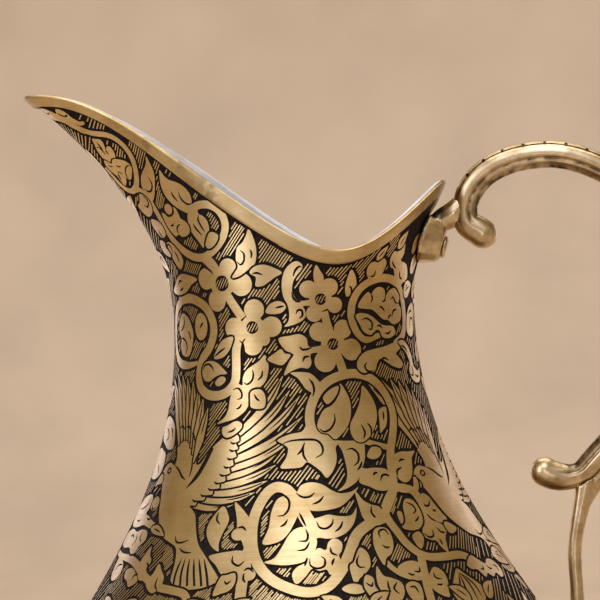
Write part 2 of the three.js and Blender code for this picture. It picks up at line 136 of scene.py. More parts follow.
def add_piece(name, points, faces, material, node, slot):
    """A finished piece from points in millimetres."""
    mesh = bpy.data.meshes.new(name)
    mesh.from_pydata((np.asarray(points) * MM).tolist(), [], faces)
    mesh.materials.append(material)
    mesh.shade_smooth()
    piece = bpy.data.objects.new(name, mesh)
    bpy.context.scene.collection.objects.link(piece)
    return dress(piece, node, slot)


def grid_faces(rows, columns, rows_close, columns_close):
    """Faces between the neighbours in a grid of points that is filled by rows."""
    return [
        (a * columns + i, b * columns + i, b * columns + j, a * columns + j)
        for a, b in ((r, (r + 1) % rows) for r in range(rows if rows_close else rows - 1))
        for i, j in ((c, (c + 1) % columns) for c in range(columns if columns_close else columns - 1))
    ]


def spun(profile, closed=True):
    """Points and faces of a (radius, height) profile spun on the axis."""
    columns = 160
    turn = np.linspace(0, 2 * np.pi, columns, endpoint=False)
    profile = np.array(profile, float)
    points = np.stack([
        np.outer(np.cos(turn), profile[:, 0]).ravel(),
        np.outer(np.sin(turn), profile[:, 0]).ravel(),
        np.tile(profile[:, 1], columns),
    ], 1)
    return points, grid_faces(columns, len(profile), True, closed)


def weld_and_turn_out(piece, keep_angle=math.radians(40)):
    """Closes the axis, points the faces outwards and keeps the crisp edges."""
    shape = bmesh.new()
    shape.from_mesh(piece.data)
    bmesh.ops.remove_doubles(shape, verts=shape.verts, dist=1e-7)
    bmesh.ops.dissolve_degenerate(shape, edges=shape.edges, dist=1e-8)
    bmesh.ops.recalc_face_normals(shape, faces=shape.faces)
    shape.to_mesh(piece.data)
    shape.free()
    piece.data.set_sharp_from_angle(angle=keep_angle)


PAN_INNER, PAN_OUTER, PAN_FLOOR, PAN_WALL_TOP = 53.2, 54.4, 1.2, 4.2
sheet_brass = brass("spun_brass", (0.40, 0.265, 0.095), (0.64, 0.47, 0.22), roughness=0.42)
pan = [
    (0, 0), (PAN_OUTER - 0.9, 0), (PAN_OUTER - 0.3, 0.15), (PAN_OUTER, 0.7),
    (PAN_OUTER, PAN_WALL_TOP - 0.35), (PAN_OUTER - 0.3, PAN_WALL_TOP),
    (PAN_INNER + 0.3, PAN_WALL_TOP), (PAN_INNER, PAN_WALL_TOP - 0.3),
    (PAN_INNER, PAN_FLOOR), (0, PAN_FLOOR),
]
base_plate = add_piece("base_plate_spun", *spun(pan), sheet_brass, "base_plate", "plain_brass")
weld_and_turn_out(base_plate)


# Foot: a flared brass collar with a straight edge, soldered under the bowl.
# Two fine turned lines run round it, as is usual on such feet; the photo
# ends above it.
def bezier(p0, p1, p2, p3, steps):
    """Points on a curve from p0 to p3 that is drawn towards p1 and p2."""
    t = np.linspace(0, 1, steps + 1)[:, None]
    p0, p1, p2, p3 = (np.array(p, float) for p in (p0, p1, p2, p3))
    return (1 - t) ** 3 * p0 + 3 * (1 - t) ** 2 * t * p1 + 3 * (1 - t) * t**2 * p2 + t**3 * p3


FOOT_NECK, FOOT_BORE, FOOT_TOP, SHEET = 36.0, 30.0, 19.8, 1.2
FOOT_EDGE_RADIUS, FOOT_EDGE_TOP, FOOT_LOW = 53.0, 4.4, 1.4
flare = bezier(
    (FOOT_EDGE_RADIUS, FOOT_EDGE_TOP), (44, FOOT_EDGE_TOP), (FOOT_NECK, 8.8), (FOOT_NECK, FOOT_TOP), 40
)


def turned_lines(profile, at, width, depth):
    """Sinks narrow grooves into an open (radius, height) profile."""
    run = np.concatenate([[0], np.cumsum(np.hypot(*np.diff(profile, axis=0).T))])
    fine = np.unique(np.concatenate(
        [run] + [np.array([s - width, s - width / 2, s, s + width / 2, s + width]) for s in at]
    ))
    line = np.stack([np.interp(fine, run, profile[:, i]) for i in (0, 1)], 1)
    step = np.gradient(line, axis=0)
    side = np.stack([-step[:, 1], step[:, 0]], 1) / np.hypot(*step.T)[:, None]
    sink = sum(depth * np.clip(1 - np.abs(fine - s) / width, 0, 1) for s in at)
    return line + side * sink[:, None]


outside = turned_lines(flare, (6.0, 8.0, 20.5), 0.55, 0.35)
inside = flare[::-1] - np.array([SHEET, 0])
foot_profile = [
    (FOOT_EDGE_RADIUS, FOOT_LOW), *outside, (FOOT_BORE, FOOT_TOP), (FOOT_BORE, FOOT_TOP - SHEET),
    *(p for p in inside if p[1] < FOOT_TOP - SHEET), (FOOT_EDGE_RADIUS - SHEET, FOOT_LOW),
]
foot = add_piece("foot_ring_spun", *spun(foot_profile), sheet_brass, "foot_ring", "plain_brass")
weld_and_turn_out(foot)


# Body wall: bowl, shoulder and neck are raised from sheet, and the neck opens
# into a saddle-shaped rim with a pulled pouring lip. Everything engraved is
# drawn on this wall as (degrees round, millimetres up), -90 at the lip.
THROAT, THROAT_Z, BELLY, BELLY_Z, FLARE = 34.0, 205.0, 80.0, 82.0, 1.9
shoulder = bezier((BELLY, BELLY_Z), (BELLY, 118), (THROAT, 143), (THROAT, THROAT_Z), 300)
bowl = bezier((36, 20), (64, 20), (BELLY, 42), (BELLY, BELLY_Z), 300)
DIP_RISE, TIP_RISE = 16.7, 66.0
lip_run = np.array([-28.0, -10.5, 4.2])
lip_run /= np.linalg.norm(lip_run)
lip_corner = np.array([-66.0, 9.5, 65.2])
lip_tip = (-74, 0, TIP_RISE)
dip = (14, 36.5, DIP_RISE)
rim = np.vstack([
    bezier((44, 0, 36), (44, 20, 36), (26, 36.5, DIP_RISE), dip, 120),
    bezier(dip, (-8, 36.5, DIP_RISE), (-38, 20, 61), lip_corner, 160)[1:],
    bezier(lip_corner, lip_corner + 4.5 * lip_run, (-74, 4.5, TIP_RISE), lip_tip, 60)[1:],
])[::-1]
rim_at = np.degrees(np.arctan2(rim[:, 0], rim[:, 1]))
rim_reach, rim_rise = np.hypot(rim[:, 0], rim[:, 1]), rim[:, 2]
# The rim was bent by hand: its low point lies these degrees nearer to the handle.
DIP_SHIFT = 6.3


def folded(theta):
    """The same place on the front half, for a wall that is alike on both."""
    theta = (np.asarray(theta, float) + 180) % 360 - 180
    return np.where(np.abs(theta) > 90, np.sign(theta) * (180 - np.abs(theta)), theta)


def rim_of(theta):
    """Radius of the rim, and its rise above the throat."""
    theta = folded(theta)
    theta = theta - DIP_SHIFT * np.cos(np.radians(theta))
    return np.interp(theta, rim_at, rim_reach), np.interp(theta, rim_at, rim_rise)


def wall_radius(theta, z):
    """Radius of the wall at this place and height."""
    z = np.asarray(z, float)
    reach, rise = rim_of(theta)
    share = np.clip((z - THROAT_Z) / rise, 0, 1.2)
    below = np.where(
        z < BELLY_Z, np.interp(z, bowl[:, 1], bowl[:, 0]), np.interp(z, shoulder[:, 1], shoulder[:, 0])
    )
    return np.where(z > THROAT_Z, THROAT + (reach - THROAT) * share**FLARE, below)


def on_wall(theta, z, out=0.0):
    """Points on the wall, or that far out from it, and the wall's normals."""
    theta, z = np.broadcast_arrays(np.asarray(theta, float), np.asarray(z, float))

    def spot(t, h):
        r = wall_radius(t, h)
        return np.stack([r * np.sin(np.radians(t)), -r * np.cos(np.radians(t)), h], -1)

    point = spot(theta, z)
    round_about = spot(theta + 0.2, z) - spot(theta - 0.2, z)
    upwards = spot(theta, z + 0.2) - spot(theta, z - 0.2)
    normal = np.cross(round_about, upwards)
    normal /= np.linalg.norm(normal, axis=-1, keepdims=True)
    return point + normal * np.asarray(out)[..., None], normal


def gauge(theta, z):
    """Millimetres per degree round, and per millimetre up, along the wall."""
    slope = wall_radius(theta, np.asarray(z) + 0.5) - wall_radius(theta, np.asarray(z) - 0.5)
    return np.radians(wall_radius(theta, z)), np.hypot(1, slope)


# Engraver's tools: flowing lines, ribbons and outlines laid on the wall. Brass
# is left standing inside a cut outline, and the ground around it is sunk,
# blackened and crossed by fine raised hatching.
def smooth(points, closed=False, steps=5):
    """A flowing line through the points."""
    p = np.array(points, float)
    p = np.vstack([p[-1], p, p[:2]]) if closed else np.vstack([2 * p[0] - p[1], p, 2 * p[-1] - p[-2]])
    t = np.arange(steps)[:, None] / steps
    line = np.vstack([
        0.5 * (2 * b + (c - a) * t + (2 * a - 5 * b + 4 * c - d) * t**2 + (3 * b - a - 3 * c + d) * t**3)
        for a, b, c, d in zip(p, p[1:], p[2:], p[3:])
    ])
    return line if closed else np.vstack([line, p[-2]])


def sideways(line, closed=False):
    """One millimetre to the right of the line, at each of its points."""
    k, m = gauge(line[:, 0], line[:, 1])
    step = np.roll(line, -1, 0) - np.roll(line, 1, 0) if closed else np.gradient(line, axis=0)
    x, y = step[:, 0] * k, step[:, 1] * m
    length = np.hypot(x, y) + 1e-9
    return np.stack([y / length / k, -x / length / m], 1)


def ribbon(points, width, start=1.0, end=1.0, steps=5):
    """Outline of a stem along the points, thinned to these shares at its ends."""
    line = smooth(points, steps=steps)
    share = np.linspace(0, 1, len(line))
    half = width / 2 * np.interp(share, [0, 0.3, 0.7, 1], [start, 1, 1, end])
    side = sideways(line) * half[:, None]
    return np.vstack([line + side, (line - side)[::-1]])


def turned_left(outline):
    """The outline, run anticlockwise."""
    x, y = outline.T
    area = np.sum(x * np.roll(y, -1) - np.roll(x, -1) * y)
    return outline if area > 0 else outline[::-1]


def grown(outline, margin):
    """The outline with a margin in millimetres added all round."""
    outline = turned_left(outline)
    return outline + sideways(outline, True) * margin


def blob(*points):
    """A closed flowing outline through the given points."""
    return smooth(points, True, 4)


def ellipse(centre, across, high):
    """An upright ellipse with these half axes in millimetres."""
    k, m = gauge(*centre)
    a = np.linspace(0, 2 * np.pi, 20, endpoint=False)
    return np.stack([centre[0] + across / k * np.cos(a), centre[1] + high / m * np.sin(a)], 1)


def petals(centre, core, *rounds):
    """A flower's core, and its petals as drops that start at the centre."""
    k, m = gauge(*centre)
    outlines = [ellipse(centre, core, core)]
    for t, z, radius in rounds:
        x, y = (t - centre[0]) * k, (z - centre[1]) * m
        a = math.atan2(y, x) + np.radians(np.linspace(-112, 112, 16))
        drop = np.stack([x + radius * np.cos(a), y + radius * np.sin(a)], 1)
        outlines.append(np.vstack([[(0, 0)], drop]) / (k, m) + centre)
    return outlines


class Engraving:
    """The cuts on one wall, in the order in which they are made."""

    def __init__(self):
        self.layers = []

    def leave(self, *outlines, edge=0.58):
        """Leaves brass inside the outlines, with a cut of this width round all."""
        outlines = [turned_left(o) for o in outlines]
        if edge:
            self.layers += [(grown(o, edge), False) for o in outlines]
        self.layers += [(o, True) for o in outlines]

    def cut(self, points, width=0.6, start=0.25, end=0.35):
        self.layers.append((ribbon(points, width, start, end, 4), False))

    def cuts(self, *lines, width=0.6, start=0.25, end=0.35):
        for line in lines:
            self.cut(line, width, start, end)

    def form(self, *outlines, edge=0.58, cuts=()):
        """Leaves brass and veins it."""
        self.leave(*outlines, edge=edge)
        self.cuts(*cuts)

    def stem(self, points, width, start=1.0, end=1.0):
        self.leave(ribbon(points, width, start, end))

    def local(self, centre, turn=0.0):
        """Maps millimetres on the wall round a centre to degrees and height."""
        k, m = gauge(*centre)
        c, s = math.cos(math.radians(turn)), math.sin(math.radians(turn))

        def to_wall(points):
            p = np.array(points, float)
            x, y = p[:, 0] * c - p[:, 1] * s, p[:, 0] * s + p[:, 1] * c
            return np.stack([centre[0] + x / k, centre[1] + y / m], 1)

        return to_wall

    def ring(self, centre, across, high, width):
        a = np.radians(np.linspace(0, 360, 22))
        self.stem(self.local(centre)(np.stack([across * np.cos(a), high * np.sin(a)], 1)), width)

    def leaf(self, base, tip, width, bend=0.0, veins=1):
        """A pointed leaf with a bent midrib and one to three cut veins."""
        base, tip = np.array(base, float), np.array(tip, float)
        k, m = gauge(*((base + tip) / 2))
        run = (tip - base) * (k, m)
        length = np.hypot(*run)
        to_wall = self.local(base, math.degrees(math.atan2(run[1], run[0])))

        def lie(share, across):
            return to_wall(np.stack([share * length, across + bend * length * 4 * share * (1 - share)], 1))

        s = np.linspace(0.02, 1, 12)
        half = width / 2 * np.sin(np.pi * s**0.72) ** 0.85
        self.leave(np.vstack([lie(s, -half), lie(s, half)[-2::-1]]))
        for v in range(veins):
            side = (0, 0.2, -0.2)[v] * width
            reach = np.array([0.2, 0.45, 0.7]) if v == 0 else np.array([0.3, 0.42, 0.52])
            self.cut(lie(reach, side * np.array([0.5, 1, 1])), 0.45)

    def hub(self, centre, radius):
        """The dark eye of a flower, crossed by a few raised lines."""
        to_wall = self.local(centre)
        self.layers.append((ellipse(centre, radius, radius), False))
        for x in np.arange(-radius + 0.5, radius, 0.85):
            y = 0.82 * math.sqrt(max(radius * radius - x * x, 0.01))
            slant = np.array([[x - 0.5 * y, -0.85 * y], [x, 0], [x + 0.5 * y, 0.85 * y]])
            self.layers.append((ribbon(to_wall(slant), 0.26, 0.6, 0.6, 2), True))

    def feather(self, root, tip, width, bend=0.06, root_share=0.75):
        """A narrow pointed feather with a dark line in its outer half."""
        base, tip = np.array(root, float), np.array(tip, float)
        k, m = gauge(*((base + tip) / 2))
        run = (tip - base) * (k, m)
        swing = bend * np.array([-run[1], run[0]]) / (k, m)
        line = [base, (base * 2 + tip) / 3 + swing * 0.9, (base + tip * 2) / 3 + swing, tip]
        blade = smooth(line, steps=4)
        share = np.linspace(0, 1, len(blade))
        half = width / 2 * np.interp(share, [0, 0.4, 0.75, 1], [root_share, 1, 0.72, 0.06])
        side = sideways(blade) * half[:, None]
        self.leave(np.vstack([blade + side, (blade - side)[::-1]]))
        self.cut(blade[6:-1], 0.42, 0.2, 0.8)

    def covered(self, spots):
        """Number of the last layer over each spot, -1 for open ground."""
        found = np.full(len(spots), -1)
        order = np.argsort(spots[:, 1])
        heights = spots[order, 1]
        for i, (outline, _) in enumerate(self.layers):
            low, high = outline.min(0), outline.max(0)
            near = order[np.searchsorted(heights, low[1]):np.searchsorted(heights, high[1])]
            near = near[(spots[near, 0] > low[0]) & (spots[near, 0] < high[0])]
            if not len(near):
                continue
            x, y = spots[near, 0][:, None], spots[near, 1][:, None]
            a, b = outline, np.roll(outline, -1, 0)
            left = (b[:, 0] - a[:, 0]) * (y - a[:, 1]) - (x - a[:, 0]) * (b[:, 1] - a[:, 1])
            rises = (a[:, 1] <= y) & (b[:, 1] > y) & (left > 0)
            falls = (a[:, 1] > y) & (b[:, 1] <= y) & (left < 0)
            found[near[(rises.sum(1) - falls.sum(1)) != 0]] = i
        return found

    def hatch(self, low, high):
        """Raised hatching, rising to the right, on the open ground. It is thinned towards the sides and left out beside
        the lug, so that more black ground shows there as painted shade.
        """
        rung, pitch, lean, shortest = 0.14, 1.38 / 6, 52.0, 7
        narrow, middling, shaded_flank, edge, end, lip_level = 45, 57, 42, 66, 92, 236
        lug_side, lug_level = 57, 203
        luck = np.random.default_rng(3)
        z = np.arange(low, high, rung)
        k, m = gauge(0.0, z)
        run = np.concatenate([[0], np.cumsum(rung * m[:-1] / np.tan(math.radians(lean)) / k[:-1])])
        starts = np.arange(-100 - run[-1], 100, pitch)
        lines, kept = [], []
        for i, start in enumerate(starts):
            girth = wall_radius(0.0, z) + luck.uniform(-2.5, 2.5)
            wanted = np.select([girth < narrow, girth < middling], [i % 7 == 0, i % 4 == 0], i % 3 == 0)
            if i % 7 == 0 or i % 4 == 0 or i % 3 == 0:
                line = np.stack([start + luck.uniform(-0.12, 0.12) + run, z], 1)
                lines.append(line)
                aside = np.abs(line[:, 0])
                # Far fewer lines are kept towards the sides, so that more black ground shows there as painted shade.
                kept.append(np.select(
                    [z > lip_level, aside > edge, (aside > shaded_flank) & (girth > narrow)],
                    [i % 6 == 0, i % 12 == 0, i % 6 == 0], wanted,
                ))
        spots = np.vstack(lines)
        # Beside the lug the hatching is left out: the black ground there is painted shade.
        shaded_by_lug = (spots[:, 0] >= lug_side) & (spots[:, 1] >= lug_level)
        open_ground = (self.covered(spots) < 0) & np.concatenate(kept) & (np.abs(spots[:, 0]) < end) & ~shaded_by_lug
        for line, clear in zip(lines, open_ground.reshape(len(lines), len(z))):
            edges = np.flatnonzero(np.diff(np.concatenate([[0], clear.astype(int), [0]])))
            for a, b in zip(edges[::2], edges[1::2]):
                a, b = a + luck.integers(1, 3), b - luck.integers(1, 3)
                if b - a > shortest:
                    count = max(2, int((b - a) / 16) + 1)
                    pick = line[np.linspace(a, b - 1, count).astype(int)]
                    side = sideways(pick) * luck.uniform(0.14, 0.19)
                    self.layers.append((np.vstack([pick + side, (pick - side)[::-1]]), True))

    def skin(self, low, top):
        """Brass skin and sunk ground of the front half, between low and top."""
        mesh_width = 4.5
        columns = np.linspace(-90, 90, 121)
        points = [np.vstack([
            np.stack([columns, np.full(len(columns), low)], 1),
            np.stack([columns, top(columns)], 1)[::-1],
        ])] + [outline for outline, _ in self.layers]
        first = np.cumsum([0] + [len(outline) for outline in points])
        ends = [np.arange(a, b) for a, b in zip(first, first[1:])]
        edges = np.vstack([np.stack([e, np.roll(e, -1)], 1) for e in ends])
        for z in np.arange(low + mesh_width, top(columns).max(), mesh_width):
            across = np.arange(-90, 90, math.degrees(mesh_width / wall_radius(0.0, z)))
            across = across[(z < top(across) - 0.5) & (across > -89.5)]
            points.append(np.stack([across, np.full(len(across), z)], 1))
        stretch = np.array([0.7, 1.0])
        spots = np.vstack(points) * stretch
        verts, _, faces, _, _, _ = delaunay_2d_cdt(
            [Vector(p) for p in spots.tolist()], edges.tolist(), [], 0, 1e-5, False
        )
        chart = np.array([tuple(v) for v in verts]) / stretch
        faces = np.array(faces)
        middle = chart[faces].mean(1)
        inside = (np.abs(middle[:, 0]) < 90) & (middle[:, 1] > low) & (middle[:, 1] < top(middle[:, 0]))
        faces, middle = faces[inside], middle[inside]
        is_brass = np.array([False] + [stands for _, stands in self.layers])[self.covered(middle) + 1]
        return chart, faces[is_brass], faces[~is_brass]


GROUND_DEPTH = 0.28


def half_pieces(node, chart, standing, sunk):
    """The front half's skin and ground, and their mirror images at the back."""
    top, normal = on_wall(chart[:, 0], chart[:, 1])
    floor, _ = on_wall(chart[:, 0], chart[:, 1], np.full(len(chart), -GROUND_DEPTH))
    count = len(chart)
    up, down = (np.concatenate([f[:, [0, 1]], f[:, [1, 2]], f[:, [2, 0]]]) for f in (standing, sunk))
    sunk_edges = set(map(tuple, down[:, ::-1].tolist()))
    walls = [(a, b) for a, b in up.tolist() if (a, b) in sunk_edges]
    both = np.vstack([top, floor])
    sunk_faces = (sunk + count).tolist() + [(b, a, a + count, b + count) for a, b in walls]
    spread = (chart - chart.min(0)) / (np.ptp(chart, axis=0) + 1e-9)
    for side, flip in (("front", 1), ("back", -1)):
        for part, points, faces, material in (
            ("skin", top, standing.tolist(), engraved_brass),
            ("ground", both, sunk_faces, black_ground),
        ):
            used, index = np.unique(np.concatenate([np.array(f) for f in faces]), return_inverse=True)
            corners = np.split(index, np.cumsum([len(f) for f in faces])[:-1])
            piece = add_piece(
                f"{node}_{part}_{side}", points[used] * (1, flip, 1), [c[::flip].tolist() for c in corners], material,
                node, "engraved_brass",
            )
            mesh = piece.data
            corner = np.zeros(len(mesh.loops), int)
            mesh.loops.foreach_get("vertex_index", corner)
            bake = mesh.uv_layers.new(name="OFBake")
            bake.data.foreach_set("uv", spread[used % count][corner].astype(np.float32).ravel())
            if part == "skin":
                mesh.normals_split_custom_set_from_vertices((normal[used] * (1, flip, 1)).tolist())


# Bowl: the lower half of the body, raised from brass sheet, lapped inside the
# upper half. The photo ends above it, so it carries a plain border and a
# row of engraved petals, as such jugs have.
engraved_brass = brass("engraved_brass", (0.46, 0.295, 0.10), (0.70, 0.515, 0.245), roughness=0.36)


def matt(name, colour, scale, detail, dark, light, shine, roughness):
    """A dull surface, clouded between (share, times darker or lighter)."""
    material, tree, shader, place = new_material(name, Specular_IOR_Level=shine, Roughness=roughness)
    cloud = noise(tree, place, scale, detail)
    stops = ((at, [times * c for c in colour]) for at, times in (dark, light))
    tree.links.new(two_tones(tree, cloud.outputs["Fac"], *stops), shader.inputs["Base Color"])
    return material


black_ground = matt(
    "black_ground", (0.010, 0.006, 0.004), scale=900.0, detail=4.0, dark=(0.35, 0.6), light=(0.75, 2.2), shine=0.15,
    roughness=0.75,
)
PETALS, BOWL_LOW, SEAM = 20, 31.0, 81.6
bowl_cuts = Engraving()


def level(low, high):
    """Outline of a plain border round the jug between two heights."""
    across = np.linspace(-92, 92, 93)
    return np.vstack([
        np.stack([across, np.full(93, low)], 1), np.stack([across, np.full(93, high)], 1)[::-1]
    ])


bowl_cuts.leave(level(76.2, 83), level(72.6, 74.8), level(30, 33), edge=0)
for i in range(-6, 6):
    mid = (i + 0.5) * 360 / PETALS
    petal = [(-7.4, 33), (-8.1, 46), (-7.6, 58), (-4.6, 66), (0, 71.2), (4.6, 66), (7.6, 58), (8.1, 46), (7.4, 33)]
    outer = smooth([(mid + a, z) for a, z in petal], True, 5)
    bowl_cuts.leave(outer)
    inner = smooth([(mid + a * 0.72, 34 + (z - 33) * 0.86) for a, z in petal], True, 5)
    bowl_cuts.layers.append((inner, False))
    bowl_cuts.stem([(mid, 34), (mid + 0.8, 44), (mid, 52)], 1.6)
    bowl_cuts.leaf((mid, 51), (mid, 63.5), 7.5, 0.0, 3)
    bowl_cuts.leaf((mid, 39), (mid - 4.2, 48), 3.6, 0.1)
    bowl_cuts.leaf((mid, 39), (mid + 4.2, 48), 3.6, -0.1)
bowl_cuts.hatch(33, 72.5)
half_pieces("lower_shell", *bowl_cuts.skin(BOWL_LOW, lambda t: np.full(np.shape(t), SEAM)))
floor_curve = bowl[bowl[:, 1] <= BOWL_LOW + 0.05]
run = np.gradient(bowl, axis=0)
inward = np.stack([-run[:, 1], run[:, 0]], 1) / np.hypot(*run.T)[:, None]
lining = (bowl + inward * SHEET)[::-1]
tin = brass(
    "tin_lining", (0.60, 0.60, 0.60), (0.86, 0.86, 0.87), roughness=0.5, brush=900.0, patch=60.0, metal=0.3
)
plain = [(0, 20), *floor_curve[::6].tolist()]
bowl_floor = add_piece(
    "lower_shell_floor", *spun(plain, False), engraved_brass, "lower_shell", "engraved_brass"
)
weld_and_turn_out(bowl_floor)
bowl_inside = add_piece(
    "lower_shell_lining", *spun([*lining[::6].tolist(), (36, 21.2), (0, 21.2)], False), tin, "lower_shell",
    "engraved_brass",
)
weld_and_turn_out(bowl_inside)
bowl_inside.data.flip_normals()


# Neck and shoulder: the upper half of the body, raised from brass sheet. Birds,
# flowers, scrolls and half-palmettes are left standing on a sunk black ground,
# each outlined by a heavy cut and veined with short strokes.
neck = Engraving()
BAND_WIDTH, LIP_SWELL, HANDLE_SWELL = 4.3, 0.9, 1.3


def band_start(theta):
    """Share of the rim's rise at which the rim band begins."""
    reach, rise = rim_of(theta)
    climb = (rise - DIP_RISE) / (TIP_RISE - DIP_RISE)
    swell = np.where(folded(theta) < 0, LIP_SWELL, HANDLE_SWELL)
    width = BAND_WIDTH + swell * 4 * climb * (1 - climb)
    return 1 - width / np.hypot(FLARE * (reach - THROAT), rise)


def under_band(theta):
    """Height at which the engraving stops under the rim band."""
    return THROAT_Z + rim_of(theta)[1] * band_start(theta)


# Birds: each spreads both wings over the shoulder. The body is left plain, the
# coverts end in a scalloped line, and the tail is fanned below.
def bird(tool, round_by, up_by):
    """Engraves the bird, moved round by degrees and up by millimetres."""

    def at(*pairs):
        return [(t + round_by, z + up_by) for t, z in pairs]

    coverts = [(-22.2, 174.2), (-22.5, 172), (-22.6, 170), (-23.2, 167.8), (-24.2, 165.6), (-25.4, 163.5),
               (-27.2, 161.5), (-29.4, 159.8), (-32.2, 158.2), (-35.4, 156.8), (-38.6, 155.4)]
    tips = at((-2, 189.8), (0.6, 185.6), (5, 184), (5.6, 178.4), (3.6, 174.8), (-3.4, 170), (-5.6, 165.8),
              (-8.6, 161.8), (-13, 158.8), (-19, 156.2))
    for root, tip in reversed(list(zip(at(*coverts), tips))):
        tool.feather((root[0] - 2, root[1] - 1), tip, 2.2, -0.06)
    scallops = []
    for (t0, z0), (t1, z1) in zip(coverts, coverts[1:]):
        scallops += [(t0, z0), ((t0 + t1) / 2 + 1.3, (z0 + z1) / 2 - 0.5)]
    tool.form(smooth(at(
        (-62.8, 163.2), (-60.6, 165.6), (-57.4, 166.4), (-54, 165.8), (-53.6, 168), (-56, 171.6), (-57.4, 174.4),
        (-53, 175.2), (-48, 174.6), (-44, 172.4), (-41.2, 169), (-40.4, 166.4), (-38, 166.6), (-35, 169.6),
        (-30.6, 172.4), (-26, 174.4), *scallops, (-38.4, 155.4), (-35, 153.4), (-33.4, 150.6), (-32, 148), (-30, 145.4),
        (-27, 143), (-24, 140.4), (-20.6, 137), (-22, 135.8), (-25, 134.8), (-29, 134.3), (-33, 134.9), (-36.4, 136.4),
        (-37, 140.6), (-38.6, 144.4), (-42, 145.8), (-46, 147), (-50.6, 149.8), (-54, 152.8), (-56.4, 156.4),
        (-58.6, 159.6), (-60.4, 161.4)), True, 3))
    roots = at((-54.4, 171), (-52.8, 172), (-51, 172.6), (-49.2, 172.6), (-47.4, 172), (-45.6, 170.6), (-43.8, 168.8),
               (-42.2, 166.6))
    tips = at((-74, 189.4), (-67, 190.4), (-61, 190.2), (-55.8, 189.6), (-50.6, 188.8), (-46, 186.8), (-42.2, 184.2),
              (-38.6, 181.4))
    for i, (root, tip) in enumerate(zip(roots, tips)):
        tool.feather(root, tip, 3.6 - 0.12 * i, -0.06 + 0.01 * i, 0.1)
    tool.cuts(at((-57, 175.4), (-54.6, 176.4), (-52, 175.4)), at((-51.6, 176), (-49.4, 176.4), (-47.4, 175)),
              at((-46.8, 174.6), (-45, 174), (-43.8, 172.4)))
    tool.form(blob(*at((-62.8, 163.2), (-61, 162.8), (-60, 161.4), (-61, 160.6), (-63.6, 160.4), (-66, 159.6),
                       (-64.8, 161.8))))
    tool.cuts(at((-54, 165.9), (-50, 164.6), (-47, 163), (-44.4, 162.2)), width=0.7)
    tool.cuts(at((-42.8, 159.8), (-38.8, 163), (-36, 166.6), (-33.4, 170.8)), width=1.4, start=0.1, end=0.9)
    tool.cuts(*(at((t - 2.6, z + 0.3), (t - 1.2, z - 0.2), (t + 0.2, z)) for t, z in coverts[1:-1]), width=0.6)
    tool.cuts(*(at((a, 142), (b, 138.4), (c, 135.2)) for a, b, c in (
        (-35, -35.4, -34.8), (-33.6, -33.4, -32.4), (-32, -31.2, -30), (-30.4, -29, -27.6), (-28.6, -26.8, -25.4),
        (-26.8, -24.8, -23.4))), width=0.7, end=1)
    tool.cuts(at((-40.8, 147.6), (-39.4, 146.1), (-37, 146), (-34.6, 146.7)),
              at((-37.4, 144.6), (-35, 143.6), (-32, 143.5)),
              at((-43.4, 168), (-42.4, 165.6), (-42.6, 163)))
    eye = at((-57, 164.3))[0]
    tool.layers.append((ellipse(eye, 1.15, 1.0), False))
    tool.form(ellipse(eye, 0.55, 0.5), edge=0)


bird(neck, 0, 0)
bird(neck, 111.1, -3.6)

